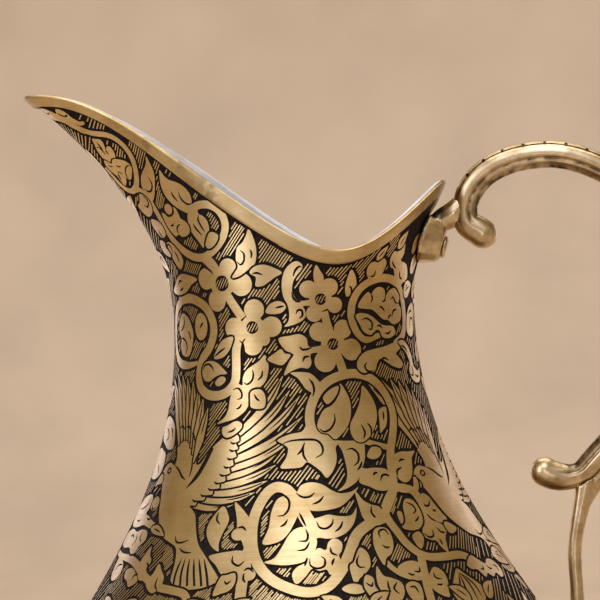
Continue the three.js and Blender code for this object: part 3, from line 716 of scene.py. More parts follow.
# Pouring lip: a long stem climbs from the first flower to a ring under the
# tip, with a scroll, a bud and curled leaves on both sides of it.
neck.form(
    blob((-89.6, 267), (-88.4, 267.2), (-86.4, 266.7), (-85.4, 266), (-84.7, 265.3), (-83.6, 266.6), (-82.6, 266.1),
         (-82.2, 265.1), (-82, 264), (-81.6, 263.2), (-81, 262.6), (-80, 262.6), (-80.3, 261.8), (-81.8, 261.5),
         (-82.4, 261.9), (-82, 261), (-81.2, 260.4), (-81, 259.6), (-82.4, 259.2), (-83.4, 260.3), (-84.2, 261.4),
         (-85.2, 262.5), (-86.8, 263.3), (-89.2, 264), (-90.2, 265.4)),
    ribbon([(-84, 262.2), (-83, 261.1), (-81.8, 260), (-80.4, 259.2), (-78.4, 258.8), (-76, 258.4), (-73.8, 257.5),
            (-72, 256), (-70.8, 254.2), (-70.2, 252), (-70.6, 249.7), (-72, 247.2), (-74, 245), (-76.6, 243.3),
            (-80, 242.3), (-82.2, 242.7), (-83.8, 243.9), (-84.6, 245.6), (-85, 247.4), (-85.4, 249.4)], 1.95, 1, 0.6),
    ribbon([(-78, 243), (-73.6, 241.7), (-70.9, 239.6), (-69.4, 237), (-68, 235), (-66, 232.4), (-63, 229.6),
            (-58.8, 226.9), (-52.6, 224.5), (-46.4, 223), (-40.6, 222.8), (-35.6, 224), (-31.4, 226), (-28.4, 228.4),
            (-27.2, 231.2), (-28.4, 234), (-31.4, 236.1), (-35.6, 237.2), (-40.4, 237.2), (-44.4, 236.2)], 2.2),
    ribbon([(-42, 222.8), (-37.6, 221.6), (-34, 219.2), (-31, 215.6)], 3.0, 0.6, 1),
    blob((-57.8, 247.6), (-56.2, 245.8), (-54.2, 244.7), (-51.4, 244.1), (-48.6, 243.3), (-46, 242), (-44.3, 240.4),
         (-43.8, 238.8), (-43.8, 237.6), (-40.8, 238.1), (-36.8, 238), (-37, 236.6), (-41.8, 236.1), (-46, 235.2),
         (-47.8, 235.3), (-51, 236.2), (-54.2, 237.3), (-57.1, 239), (-59, 240.8), (-59.6, 242.9), (-59, 245.4)),
    blob((-62.4, 251.6), (-61.8, 249.8), (-61.3, 247.7), (-61.8, 245.5), (-63.6, 243.1), (-65.6, 240.9), (-68.8, 239),
         (-70.5, 240.4), (-71.8, 242), (-72.2, 243.6), (-70.5, 245.6), (-68.2, 247.2), (-65.8, 248.4), (-63.8, 249.8)),
    blob((-45.6, 236.4), (-41.6, 236.4), (-41, 234.9), (-38.8, 234.2), (-36.8, 233), (-35.8, 231.2), (-36.2, 229.6),
         (-38.2, 228.5), (-39, 226.9), (-40, 225.4), (-42.4, 227.1), (-45.1, 229), (-47, 230.8), (-47.6, 233),
         (-47.2, 234.8)),
    *petals((-30.6, 215.4), 4.0, (-39.8, 216.8, 3.0), (-27, 219.4, 2.8), (-20.4, 214.9, 3.2), (-34, 210.7, 3.0)),
    *petals((-15.8, 203), 3.4, (-14.6, 207.8, 2.9), (-25, 203, 2.9), (-6.6, 203, 2.8), (-15.8, 198.2, 2.8),
            (-10.4, 199.6, 1.7)),
    ribbon([(-28.5, 212.5), (-24.5, 209), (-20.5, 205.6)], 2.5),
    ribbon([(-64, 210.6), (-58, 211.4), (-50, 211.3), (-42, 209.2), (-37.6, 205.6), (-36.8, 202), (-39.5, 198),
            (-44.4, 194.6), (-46.4, 191), (-45, 187.4), (-40, 185.2), (-34, 184.7), (-28.6, 185.7), (-24.8, 188.4),
            (-24.2, 192), (-24.2, 197), (-22.4, 200.4), (-18, 202)], 2.6),
    ribbon([(-62, 210.8), (-69, 208.4), (-73.2, 204.4), (-74, 200), (-70.6, 196), (-65, 193.7), (-58, 193),
            (-52, 193.2), (-47.4, 193.8)], 2.4, 1, 0.4),
    blob((-21, 187.4), (-20.8, 189.4), (-19.6, 191), (-17.4, 192.2), (-13, 193.8), (-10.2, 195.4), (-8.7, 193),
         (-8.8, 190.8), (-10, 188.4), (-12.6, 186.7), (-16, 186), (-17.2, 184.6), (-17.8, 182), (-20, 180),
         (-24, 178.4), (-28, 177.7), (-32.6, 177.1), (-29, 178.9), (-27.4, 181), (-27, 183.4), (-26, 186), (-24, 188)),
)
neck.cuts(
    [(-20.4, 188.2), (-18.6, 187.6), (-16.4, 188.6), (-15.7, 190.2), (-16.2, 191.5)],
    [(-13.8, 188.6), (-11.9, 189.6), (-11.4, 191.2)],
    [(-25.8, 186.2), (-23, 186.6), (-21.2, 185.4), (-21.3, 184), (-23.4, 183.6)],
    [(-23.6, 181), (-22, 181.4), (-21, 182.4)],
    [(-35.4, 218), (-37.4, 219.2), (-40, 219.8)],
    [(-54.6, 241.5), (-53.8, 240.1), (-51.8, 238.6)],
    [(-50.3, 241.2), (-49.9, 239.7), (-48.4, 238.4), (-46, 237.6), (-43.8, 237.8)],
    [(-44.6, 232.2), (-43.2, 230.7), (-40.2, 228.9)], [(-41, 234.6), (-41.5, 233.2), (-40.4, 231.6), (-38.4, 229.8)],
    [(-65.9, 246), (-65, 244.7), (-65.2, 243.3), (-67.1, 242), (-69.5, 241.9), (-71.3, 242.6)],
    [(-89.6, 266.6), (-88.8, 265.8), (-87.8, 265.5), (-87, 265.8)],
    [(-84.3, 265.6), (-84, 265), (-83.5, 264.5), (-82.9, 264.4), (-82.4, 264.9)],
    [(-22.4, 199.6), (-20.6, 198.4), (-20.2, 195.4), (-21, 191)],
)
neck.hub((-30.6, 215.4), 2.2)
neck.hub((-15.8, 203), 1.75)
neck.form(blob((-36, 229.4), (-33.5, 229.5), (-31.2, 228.6), (-32, 227), (-34.4, 225.6), (-37, 225.1), (-38.5, 225.9),
               (-38, 227.4)))
neck.form(
    blob((-64.6, 235.7), (-62.2, 235.2), (-60.4, 234.4), (-57.6, 234.9), (-55.9, 236), (-55.4, 237.1), (-53.9, 236.5),
         (-52.8, 235.1), (-52, 233.8), (-49.5, 233), (-47.6, 231.6), (-47.4, 230.1), (-49.4, 229), (-52.9, 228.7),
         (-55.2, 229.4), (-57.5, 228.9), (-60.2, 229.9), (-62.5, 231.5), (-64.2, 233.6)),
    ellipse((-59, 236.6), 1.75, 1.55),
    cuts=[[(-63.2, 236), (-61.5, 235.2), (-59.9, 234.7), (-57.2, 235), (-55.7, 236), (-55.9, 237.2)],
          [(-60.2, 232), (-58.5, 232), (-57.6, 232.6)],
          [(-52.8, 232.2), (-54.8, 231.8), (-55.8, 230.8), (-55.2, 229.6)]])
neck.form(blob((-81.6, 257.6), (-80.5, 257.5), (-79.4, 257.3), (-79.1, 256.4), (-79.5, 255.3), (-79.9, 254.3),
               (-78.9, 255.1), (-77.8, 255.2), (-77.3, 254.4), (-77.4, 253.2), (-78.4, 251.9), (-80.2, 251.8),
               (-81.5, 250.8), (-82.2, 251.4), (-83, 252.1), (-83, 253.2), (-82.8, 254.4), (-82.2, 256)), edge=0.4)
neck.form(blob((-83.2, 251.4), (-82.2, 250.9), (-81.5, 250.3), (-80.5, 251.2), (-79.2, 251.6), (-77.4, 251.4),
               (-75.4, 251), (-73.6, 250.2), (-72.9, 249), (-74.3, 247.4), (-76.8, 245.7), (-78.5, 245.6),
               (-79.2, 246.3), (-80.3, 245), (-82, 244), (-82.6, 245), (-82.7, 246.4), (-83.3, 247.6), (-84, 248.5),
               (-84.2, 249.9)), edge=0.4)
neck.cuts([(-81, 256.6), (-81, 255.4), (-81.1, 254.3)], [(-82.5, 255.2), (-81.5, 255), (-81.3, 254), (-81.3, 253)],
          [(-80, 254.4), (-80.2, 253.6), (-80.1, 252.9)],
          [(-72.9, 249.1), (-74.2, 249.5), (-76.2, 248.9), (-77.8, 247.7), (-78.4, 246.4), (-77.8, 245.5)],
          [(-80, 250), (-79.8, 249.4), (-78.4, 249.4)], [(-81.5, 248), (-80.8, 247.7), (-79.7, 247.2)],
          [(-83, 250), (-82.6, 249.7), (-81.8, 249.4)], [(-81.6, 247.5), (-82, 246.7), (-82.2, 245.5)], width=0.45)
neck.form(blob((-76.6, 241.4), (-74.4, 241.1), (-72, 239.8), (-71, 238.2), (-71.8, 236.5), (-74.5, 235.2),
               (-78.1, 234.9), (-80.4, 235.8), (-81.6, 237.1), (-81.6, 238.2), (-79.5, 239), (-77.6, 240.4)),
          cuts=[[(-75, 241), (-73, 239.7), (-72.8, 238.5), (-75.1, 237.6), (-77.3, 238.2)]])
neck.form(blob((-76.4, 234), (-72.1, 233.8), (-68.5, 232.8), (-66.7, 231.3), (-66.4, 229.6), (-69.1, 228.8),
               (-72.5, 229), (-75.6, 230.6), (-77.4, 232)), cuts=[[(-73.2, 231.2), (-72.2, 229.9), (-69.7, 228.8)]])
neck.form(blob((-75.2, 228), (-70.2, 227.5), (-69.8, 226), (-66.8, 224.5), (-66.4, 223.3), (-70, 223.5), (-74.5, 224.6),
               (-76.4, 226.2)))
neck.form(blob((-68, 227.1), (-64.9, 227.4), (-61.5, 226.5), (-58.4, 225), (-55.9, 223.3), (-55.3, 221.6),
               (-57.5, 219.9), (-60.2, 220), (-62.9, 221.6), (-64.8, 223), (-65, 224.2), (-66.8, 225.4)),
          cuts=[[(-64.9, 223.3), (-63.8, 225.1), (-65.2, 226.5), (-67.2, 226.8), (-67.8, 225.9), (-67.1, 224.9)],
                [(-62, 225), (-60, 223.4), (-58.8, 221.6)]])
neck.leaf((-90, 224), (-72, 218.8), 4.4, 0.06, 2)
neck.leaf((-90, 234), (-83, 241), 5, 0.1)
neck.leaf((-89, 246), (-87.6, 255), 4, 0.05)

# Neck: leaves beside the flowers, an oval bud and a palmette in the loops of
# the scroll, and a C-scroll that carries the second pair of flowers.
neck.form(blob((-46, 216.8), (-52, 218), (-58, 218.4), (-63, 217.5), (-67, 215.6), (-71, 213.6), (-66, 212.6),
               (-60, 212.7), (-55, 213.5), (-51, 215.2)),
          cuts=[[(-63.4, 215.4), (-61, 216.5), (-58.6, 216.2)], [(-62, 213.7), (-60, 214.1), (-58, 214.6)]])
neck.form(ellipse((-45.3, 203.7), 2.7, 3.8), cuts=[[(-46.2, 203.2), (-44.8, 204.2), (-43.4, 204.9)]])
neck.form(blob((-67, 203.4), (-64.8, 206), (-61, 207.4), (-56, 206.3), (-53, 204), (-51.5, 201.4), (-52.8, 197.8),
               (-55.4, 195.6), (-59, 195.4), (-62.8, 196.2), (-64.6, 198.4), (-64, 200.4), (-66, 201.6)),
          cuts=[[(-63.8, 200.2), (-61.8, 200.4), (-58.8, 199.6), (-57.4, 197.8), (-58.6, 196.2)],
                [(-65, 202.4), (-62, 203.2), (-60, 204.8), (-60.6, 206.4)],
                [(-56.4, 202.4), (-54.8, 201.6), (-54, 200)]])
neck.form(blob((-36.8, 195), (-33.4, 198.8), (-30, 200.3), (-25.8, 200.6), (-27, 198), (-29.4, 196), (-32.4, 194.9)),
          cuts=[[(-36.4, 195.3), (-33.4, 196.6), (-30.2, 197.7)]])
neck.form(blob((-44.2, 191.4), (-42.6, 193.6), (-39, 194.2), (-35, 193.7), (-32, 192.4), (-29, 190.7), (-33, 190.4),
               (-36.4, 189.6), (-39, 188.6), (-42.4, 189)),
          cuts=[[(-43.8, 191.4), (-42.6, 192.9), (-40, 193.3), (-37.8, 192.5), (-36.8, 191.4)]])
neck.form(blob((-35.6, 188.2), (-33.6, 189.6), (-31, 189.9), (-29.6, 189), (-31.4, 187.7), (-34, 187.3)))
neck.form(blob((-16.8, 185.6), (-13, 186.2), (-10.6, 185), (-10, 182.6), (-11.4, 181), (-16.4, 181.3), (-17, 183.4)),
          cuts=[[(-15.4, 185), (-14, 183.6), (-12.6, 183.1)]])
neck.form(blob((-29.6, 176), (-27, 176.7), (-23.4, 177.8), (-20.8, 177.3), (-20.4, 176), (-23, 174.4), (-26.6, 173.4),
               (-29, 174.2)),
          cuts=[[(-27, 174.8), (-24.6, 175.2), (-23, 176)]])
neck.form(blob((-25, 216.9), (-21.8, 219.6), (-22.6, 222), (-21.7, 224.9), (-19, 226.3), (-17.2, 228), (-15.5, 230),
               (-13.4, 227.4), (-12.3, 224.6), (-12.5, 221.6), (-14, 219.7), (-17.4, 218.5), (-21, 217.2)),
          cuts=[[(-22.2, 221.2), (-20.2, 220.3), (-18.5, 221.3), (-18.4, 223.2), (-20.2, 224.2)],
                [(-15.4, 224.4), (-14.6, 223.2), (-15, 221.9)]])
neck.form(blob((-16, 218), (-13.4, 219.6), (-9, 220), (-4.6, 219.1), (-0.6, 217.6), (-4, 216.4), (-7, 215.2),
               (-10, 214.2), (-13.4, 214.3), (-13, 216.6)),
          cuts=[[(-14.8, 217.7), (-12.2, 217.8), (-9.8, 217.2)]])
neck.form(blob((-9, 206.9), (-7.6, 208.8), (-4.6, 209.8), (-1.6, 209.7), (0.6, 208.4), (-1.4, 206.8), (-5, 206.4)),
          cuts=[[(-4.6, 208), (-2.4, 208.3), (-0.4, 208.4)]])
neck.form(
    *petals((16.6, 209.8), 3.2, (11, 212.7, 2.4), (20.5, 212.9, 2.5), (23.2, 208, 2.2), (13.4, 206, 2.3)),
    blob((13.6, 216.6), (14.8, 219.2), (16.6, 217.6), (18.2, 215.6), (16.8, 213), (14.6, 213)),
    *petals((21.4, 197.4), 3.4, (15, 201, 2.6), (26.6, 201.3, 2.6), (30.2, 195.6, 3.0), (17.2, 192.9, 3.0)),
    ribbon([(18, 206.4), (19, 203.4), (20.4, 200.4)], 2.2),
    ribbon([(22.6, 195), (24.4, 191.6), (25.6, 188.6)], 2.4),
    blob((8.8, 219.4), (6.5, 220.5), (3.5, 219.9), (0.5, 217.9), (-1, 214.5), (-0.5, 211), (1.4, 208.5), (1.8, 206),
         (1.2, 204.2), (-0.6, 202.8), (4.5, 203.4), (8, 204.4), (9.4, 205.6), (9, 207.2), (8.6, 208.2), (13.6, 208.2),
         (13.6, 209.8), (7.6, 209.6), (5.6, 210), (4.4, 211), (3.6, 212.6), (4.4, 215), (6, 216.6), (8.2, 218)),
    blob((17.4, 197.2), (12, 196.9), (9.8, 197.3), (9.2, 199.4), (6, 200.6), (1.6, 200.3), (-3.6, 199.7), (-1.6, 197),
         (1, 195.8), (3, 195.1), (1.2, 193.6), (-0.4, 191.8), (-1.6, 189.6), (2, 190.8), (6, 191.5), (9.2, 191.2),
         (10.8, 192.6), (10.5, 194.6), (12, 195.3), (17.4, 195.3)),
    ribbon([(18.6, 171.4), (13, 172.8), (9.6, 174.2), (8.4, 177), (9.2, 180.6), (12.6, 184.7), (18, 187.5),
            (25, 188.9), (32, 188.9), (39, 187.2), (44.4, 183.8), (47.2, 179.6), (47, 176), (44.6, 172), (41.4, 168),
            (39.4, 164), (38.8, 160), (37, 157.2), (34.2, 155), (31.6, 152.4), (30, 149.6)], 2.5),
    blob((1.2, 190.2), (6, 190.3), (10, 189.8), (12.8, 188.2), (14.6, 186.2), (12, 183.6), (10, 184.6), (7.6, 185.7),
         (6, 187.2), (4.2, 188.8)),
    blob((-5, 172.4), (0, 173.8), (5, 174.4), (7.6, 176.6), (11, 174.4), (17, 172.6), (19.4, 171), (17.8, 169.6),
         (17.7, 167), (16.4, 164.4), (13.2, 161.8), (11.2, 163.5), (9, 165), (6.2, 166.2), (4, 165), (0, 164.8),
         (-3.8, 165.1), (-1.6, 167.6), (-0.8, 170), (-2.6, 171.2)),
    blob((18.6, 171.2), (22, 171.2), (27, 171), (29.8, 170.8), (29.4, 167.6), (28.4, 165.4), (26.8, 163.6), (25.8, 162),
         (23.6, 160.2), (20, 158.8), (16.4, 158.2), (19.4, 160), (20.8, 162.6), (20.8, 165.6), (20.2, 168.6)),
    ribbon([(29, 171), (35, 169.6), (41, 168.4)], 1.6),
    ribbon([(26, 163), (29, 162.4), (33, 162)], 2.0),
    blob((24.8, 160.6), (26.6, 162.7), (29.6, 163.5), (33.4, 163.4), (36.8, 162.8), (38.6, 160.8), (37.6, 158.4),
         (34.6, 157.3), (31, 157.6), (28, 158.8), (25.4, 159.6)),
)
neck.cuts(
    [(3.4, 212.2), (4, 210.6), (5.5, 209.6), (7.4, 209.4)],
    [(4.8, 206), (5.8, 207.1), (7.6, 207), (7.8, 205.6), (6.2, 204.9)],
    [(8.6, 218.9), (7, 218.9), (5.4, 217.9), (4.5, 216.4)],
    [(5.8, 197.3), (7, 196.4), (9, 196.4), (11.4, 196.8)], [(6.8, 193), (8, 194.3), (10.2, 194.4)],
    [(9.2, 188.4), (10.6, 187.2), (11.2, 185.4), (10.4, 183.6)],
    [(-3.5, 171.1), (0, 172), (6, 172.2), (10.6, 171.8), (12.6, 170), (12.2, 168.2), (9.6, 167.2)],
    [(2.6, 168.2), (4.4, 169.4), (5.8, 171.4)], [(5.2, 170.6), (5, 168.2), (6.4, 166.3)],
    [(22, 168.8), (24.4, 169), (26.4, 167.6), (26, 165.6), (23.8, 164.4)],
    [(24.8, 163.2), (26.4, 164.2), (27.4, 165.4)],
    [(33, 159.8), (34.4, 161.3), (36.6, 161.3), (38.2, 160)], [(30.6, 161.5), (31.6, 162.1), (32.8, 162.2)],
    width=0.65,
)
neck.hub((16.6, 209.8), 1.6)
neck.hub((21.4, 197.4), 1.6)
neck.form(blob((-9, 194.2), (-5, 196), (-2.6, 196.8), (-1, 195.6), (1.6, 195.1), (-0.4, 193.4), (-2.6, 192.4),
               (-6, 193)))
neck.form(blob((28.2, 212), (28.6, 214.4), (30.1, 217.4), (32.4, 216), (33.8, 213.6), (33, 211.4), (31, 210.4),
               (29, 210.2)),
          cuts=[[(30.2, 213), (31.4, 212.2), (31.4, 211)]])
neck.form(blob((18, 171.8), (21, 173), (24.4, 175.4), (26.4, 178.6), (26.6, 182), (25, 184.8), (23, 186.6),
               (22.3, 184.2), (20.4, 182.2), (18, 180.8), (14.6, 179.8), (12, 177.2), (11.4, 175.2), (13, 173.8),
               (15.6, 173.3)), edge=0.4,
          cuts=[[(12, 175), (13.8, 174), (16.6, 174.6), (18.8, 176.6), (19, 178.6)]])
neck.form(blob((14.8, 183.2), (18, 185.1), (22, 186), (21.6, 184.4), (19.8, 182.8), (17.6, 181.6), (16, 181.4)))
neck.form(blob((33.6, 185.6), (36.4, 183.6), (38.6, 180.4), (38.4, 177), (36, 174), (33, 171.8), (29.4, 170.5),
               (26.6, 171), (25, 173), (25.4, 175.6), (28, 178), (30.6, 180.6), (32.4, 183.4)), edge=0.4,
          cuts=[[(30, 171.4), (31.2, 173), (30.2, 175.2)], [(33, 175.6), (34.4, 174), (33.8, 172.2)]])
neck.form(blob((40, 178.6), (44, 179.4), (43.8, 177), (42.2, 174.4), (40, 173.2), (38.4, 172.6), (39.2, 175.6)),
          cuts=[[(41.4, 175.8), (41.9, 177), (42.1, 178.2)]])
neck.form(blob((30, 166.8), (32.8, 169), (36.2, 168.6), (36.6, 167.2), (34.4, 166), (31.8, 165.8)))

# Towards the handle: a ringed palmette with a curling tail, and leaves that
# fill the ground up to the rim band.
neck.form(
    ribbon([(50, 199.4), (44, 198.6), (38, 198), (33.6, 200.4), (31.4, 204.4), (32.4, 208.6), (36, 212), (42, 214),
            (50, 214.6), (58, 213.5), (64.6, 210.6), (67.8, 206), (67.4, 201), (63.6, 197.8), (57, 196)], 2.3, 0.6, 1),
    blob((64, 198.4), (57, 196.8), (50, 195.8), (43, 195.3), (37, 194.6), (33, 192.6), (32.4, 190.4), (35, 189),
         (38, 189.2), (41.4, 189.2), (43.6, 191.4), (46, 192.5), (50, 191.2), (54, 190), (59, 189.4), (61.4, 190.6),
         (58.6, 192.6), (57, 193.6), (63, 195.6)),
    blob((58.6, 213.6), (56.6, 216.6), (53.4, 217.6), (52.2, 219.8), (54, 221.8), (57, 221.6), (59.4, 222.8),
         (62, 223.8), (63.2, 221), (61.4, 219.2), (64.4, 218.6), (68.4, 217.6), (70.8, 215), (69.8, 213.2), (66, 212.8),
         (63, 211.4)),
    blob((38.4, 217.2), (40, 219), (44, 219.3), (47.6, 220), (50, 218.6), (48.6, 216), (47, 214.4), (42, 214.2),
         (39.4, 215.2)),
)
neck.cuts(
    [(37.8, 191.9), (36.3, 190.8), (37.6, 189.4), (41, 189.4)], [(44.4, 191.4), (48, 192.6), (51, 191.8)],
    [(61.8, 219.4), (63.2, 218.9), (64.8, 219.4)], [(61.8, 216.4), (62.6, 214.6), (65.2, 213.8)],
    [(41, 215.2), (43, 215.4), (43.8, 216.8)], [(54, 219.2), (55.6, 218), (58.2, 217)],
)
neck.form(blob((35.2, 207), (37, 209.2), (40.5, 211), (42.6, 210.4), (44.4, 211.6), (47.5, 212.2), (51, 211.4),
               (52.2, 209.6), (54.5, 211), (59, 211.5), (63.6, 209), (62.6, 207.2), (65, 205.5), (64, 202.8),
               (60.5, 201.8), (57, 201.6), (53.5, 202.8), (50, 203.2), (48, 204), (43.5, 206), (39.5, 206.4)),
          cuts=[[(42.4, 210.6), (43.4, 209.2), (42.6, 208)], [(52.2, 209.8), (51.6, 208.4), (49.8, 208)],
                [(62.4, 207.2), (60, 207.6), (58, 209), (56, 208.6)], [(47.6, 206.8), (49.8, 206.4), (51.4, 205.2)],
                [(56.4, 203.6), (57.8, 205.2), (60.8, 205.7)], [(53.4, 203), (54.6, 204), (56, 204.2)]])
neck.form(blob((33.6, 204.6), (36, 205.4), (40.5, 204.9), (44.5, 203.6), (48, 202), (51.6, 201.4), (57, 201),
               (58.2, 199), (53, 197.9), (48.6, 198.4), (47.2, 200), (45, 200.4), (41.5, 199.2), (37.5, 200.2),
               (35.5, 202.4)),
          cuts=[[(36.4, 203.4), (39.6, 203.8), (42.6, 202.6), (42.2, 200.8), (40.2, 200.9)],
                [(45.6, 201.4), (47.4, 201.6), (49, 200.8)], [(50.4, 199.4), (53, 199.2), (55, 200)]])
neck.leaf((43, 219.6), (48.4, 223.4), 2.4)
neck.leaf((56.4, 222.4), (61.6, 227.2), 3.4)
neck.leaf((68, 209.4), (78, 212), 4.6, 0.1, 2)
neck.form(blob((70, 199), (71.4, 203.6), (76, 206.4), (82, 206.8), (86, 204.4), (83, 202.6), (81, 199.6), (76, 197.6)),
          cuts=[[(74, 200), (76, 202.6), (79.6, 202.4), (80.4, 200.4)], [(74, 204), (76.6, 204.8), (79.4, 204.6)]])
neck.form(blob((60, 196.4), (64, 197), (68.6, 195.4), (71.6, 192.4), (72.4, 189.6), (77, 188), (82, 188.6), (79, 185.6),
               (73, 184.8), (68, 186), (66.6, 188.6), (68.4, 190.6), (66, 193.4)),
          cuts=[[(67, 187.4), (69.4, 187), (70.6, 188.4), (69.4, 189.8)], [(72, 187.2), (75, 186.4), (77.6, 186.8)],
                [(61.6, 195.6), (65, 195), (67.6, 193.6)]])
neck.leaf((80, 190.6), (91, 196), 4.6, 0.1, 2)
neck.leaf((74, 216), (86, 219), 5.2, 0.1, 2)
neck.leaf((72, 221), (82, 226), 4.6, 0.1)
neck.leaf((80, 209), (91, 212), 4.6, 0.1)


# Shoulder: the great C-scroll with three lobed leaves inside it, the branch
# that runs from it to the second bird, and the vine under the first one.
neck.form(
    ribbon([(1, 157.4), (-2, 159.6), (-6, 159.9), (-9.6, 157.4), (-12.2, 152.6), (-12.3, 147), (-10.4, 141.6),
            (-6, 137), (0, 134.1), (5, 133.1), (9.6, 134.4), (13.6, 138), (16.6, 142), (20, 146.6), (25, 149.2),
            (30.4, 150.4)],
           2.9),
    ribbon([(-1.4, 157), (2.4, 155.4), (4.4, 152.4), (6.2, 149.4), (7, 146.4)], 3.6),
    blob((-2, 159.4), (1.7, 158.4), (3.5, 160.2), (7, 160.9), (11, 160.2), (14, 158.6), (17, 157.6), (21, 157.8),
         (24, 158.8), (20.5, 156.3), (16.5, 154.2), (12, 153.5), (8, 153.4), (5, 153.8), (2.5, 153), (0, 154)),
    blob((5.4, 153.4), (6.8, 151.6), (9, 151.8), (12, 152.3), (15, 151.8), (18, 151.6), (20, 152), (21.8, 153.6),
         (20.8, 151), (19, 148.8), (16, 147), (12, 146.2), (8.6, 146.6), (6, 147.6)),
    blob((-7.8, 141), (-5, 142), (-3, 144.5), (-1, 147.4), (1, 149), (3.5, 149.5), (6, 148.6), (7.6, 146.2), (7, 143.8),
         (5.5, 141.8), (2.5, 140.5), (-2, 140.1), (-6, 140.5)),
    blob((6.2, 143), (8, 144), (10, 143.4), (11, 145.3), (13, 146.2), (15, 145), (14.6, 143), (13.6, 141.8),
         (14, 139.6), (12, 137.8), (10.4, 137.2), (9.6, 138.5), (7.6, 138.3), (5.6, 138.9), (3.6, 136.9),
         (1.2, 135.3), (0.1, 137.6), (1.4, 139.4), (3.8, 140.4), (5, 141.6)),
    blob((-8.8, 145.6), (-7.2, 149.6), (-6.6, 153.6), (-4.8, 156.8), (-2, 157.6), (0, 156), (2.4, 153.4), (1.4, 151.4),
         (-1, 148), (-4, 146)),
    blob((-19.8, 156.4), (-18.3, 152.4), (-17.4, 149), (-15.6, 146.6), (-13.6, 144), (-11.4, 146), (-12, 150.6),
         (-14.4, 152.8), (-16.6, 154.6)),
    ellipse((-16.8, 148.2), 2.1, 1.8),
    blob((-25.4, 142.6), (-22, 143.5), (-18.5, 143.9), (-16, 144.1), (-13, 143.4), (-11.6, 140), (-12.2, 137),
         (-14.4, 137.4), (-16.6, 138.8), (-18.4, 137.7), (-20.2, 138.2), (-22.4, 140.4)),
    ribbon([(-12.6, 146), (-13.4, 141), (-13.6, 136), (-13.4, 129)], 3.0),
    ellipse((-11.8, 138), 1.7, 1.7),
    ribbon([(31, 152), (32, 149.4), (33.4, 147), (35.4, 143.4), (38.4, 140.6), (42, 139.2), (48, 138.8), (54, 138.6),
            (59, 136.8)], 2.4),
    ribbon([(27, 149), (25.6, 144), (26.8, 139.6), (29.4, 136.6), (33, 134.8), (36.6, 134.4)], 1.6, 0.6, 1),
    ribbon([(39, 140.6), (37.8, 136.4), (36.8, 132), (36, 126)], 2.5),
    blob((29.8, 137.4), (32, 138.6), (35, 138.9), (37.4, 138), (37.8, 136.2), (36, 135), (33.4, 134.4), (31, 135.6)),
    blob((40.2, 136), (42, 136.6), (44, 135.2), (44.2, 133), (43, 130.6), (42.4, 128.8), (40.4, 129.4), (38.4, 131),
         (37.6, 133.4)),
    blob((22.4, 158), (22.8, 153.4), (23.4, 150.6), (25.4, 149.4), (28, 149.2), (30.6, 150.6), (30, 153.2), (27.4, 154),
         (24.6, 155.4)),
    ribbon([(37.6, 158.8), (41, 157.4), (45, 156.8), (47.4, 154.4), (46.8, 150.6), (46, 147.6)], 2.4),
    ribbon([(46.4, 156), (48.4, 158), (48.8, 160)], 1.8, 1, 0.5),
    blob((39.4, 164.4), (42, 166.3), (46, 167), (50, 166.8), (54, 166.7), (51, 165), (49.6, 162.6), (47.6, 160.2),
         (44.6, 158.9), (42, 159.3), (40, 161.6)),
    blob((47, 151), (47.2, 153.8), (49.4, 155.5), (52, 154.6), (53.4, 152.6), (55.2, 149.8), (56.4, 148.2),
         (54.4, 147.2), (51.6, 147.6), (49, 148.6)),
    blob((45, 148.6), (43.4, 146.6), (42.8, 144.6), (45, 143.4), (46.8, 143), (47.6, 141.4), (49.4, 139.7),
         (50.4, 141.6), (51.4, 143.6), (53.6, 145.4), (52.4, 147), (50, 148), (48, 149.6)),
)
neck.cuts(
    [(1.7, 158.4), (3.8, 157.2), (6.4, 157.2), (8.2, 158.2)], [(7, 155.2), (9.4, 155.8), (11.2, 157.2)],
    [(8, 150.8), (8.8, 149.2), (10.8, 148.8), (12.8, 149.8), (13.4, 151.2)],
    [(13.4, 147.8), (15.2, 148.8), (16.4, 150.4)],
    [(4.4, 149), (5, 147.4), (4.4, 146), (2, 146)], [(1.6, 143.6), (4, 143.9), (5.4, 145.6)],
    [(5.2, 141.6), (5.2, 139.8), (7, 138.9), (9, 139.4), (9.4, 141), (8.4, 141.9)],
    [(3.6, 139.6), (4, 140.6), (4.5, 141.8)],
    [(11.4, 144), (11.6, 142.6), (13.2, 141.8)], [(11.2, 139.4), (11.6, 140.4), (12.2, 141.2)],
    [(-6, 157), (-3, 157.9), (-0.8, 156.6), (-0.8, 154.4), (-2.4, 152.8), (-4.4, 152.6)],
    [(-3.6, 149.8), (-2.2, 150.4), (-1.2, 151.6)], [(2.6, 153.2), (3.6, 151.4), (4.6, 149.6)],
    [(-14.4, 149), (-15.8, 150), (-17.6, 149.8)], [(-17.6, 142.8), (-17.4, 141.2), (-15.4, 140.3), (-13.8, 141.4)],
    [(-13.6, 139), (-12.2, 139.6), (-10.6, 138.6)], [(-12.6, 136), (-13.4, 137), (-13.4, 138.4)],
    [(27.2, 153.8), (26.6, 152), (28, 150.4), (29.8, 150.9)],
    [(40.8, 160.6), (41.6, 162.2), (44.2, 162.9)], [(43.6, 164.4), (45, 164.9), (46.8, 164.8)],
    [(48, 153.6), (48.6, 152.3), (50.4, 152.2), (51.8, 153.4)], [(51, 151), (52, 150.6), (52.8, 150.8)],
    [(43, 145.4), (44.6, 144.2), (46.6, 144.4), (47.2, 146)], [(49.4, 146.4), (50.6, 145), (52.4, 144.8)],
    [(48.4, 143.4), (48.6, 142.6), (48.6, 141.8)], [(47.8, 150.2), (48.8, 148.8), (50.6, 147.9)],
    width=0.65,
)
neck.form(ribbon([(41.4, 168), (39.2, 162), (37.6, 157.7), (33.8, 153.9), (29.8, 150.5), (26, 148.9)], 2.4), edge=0)
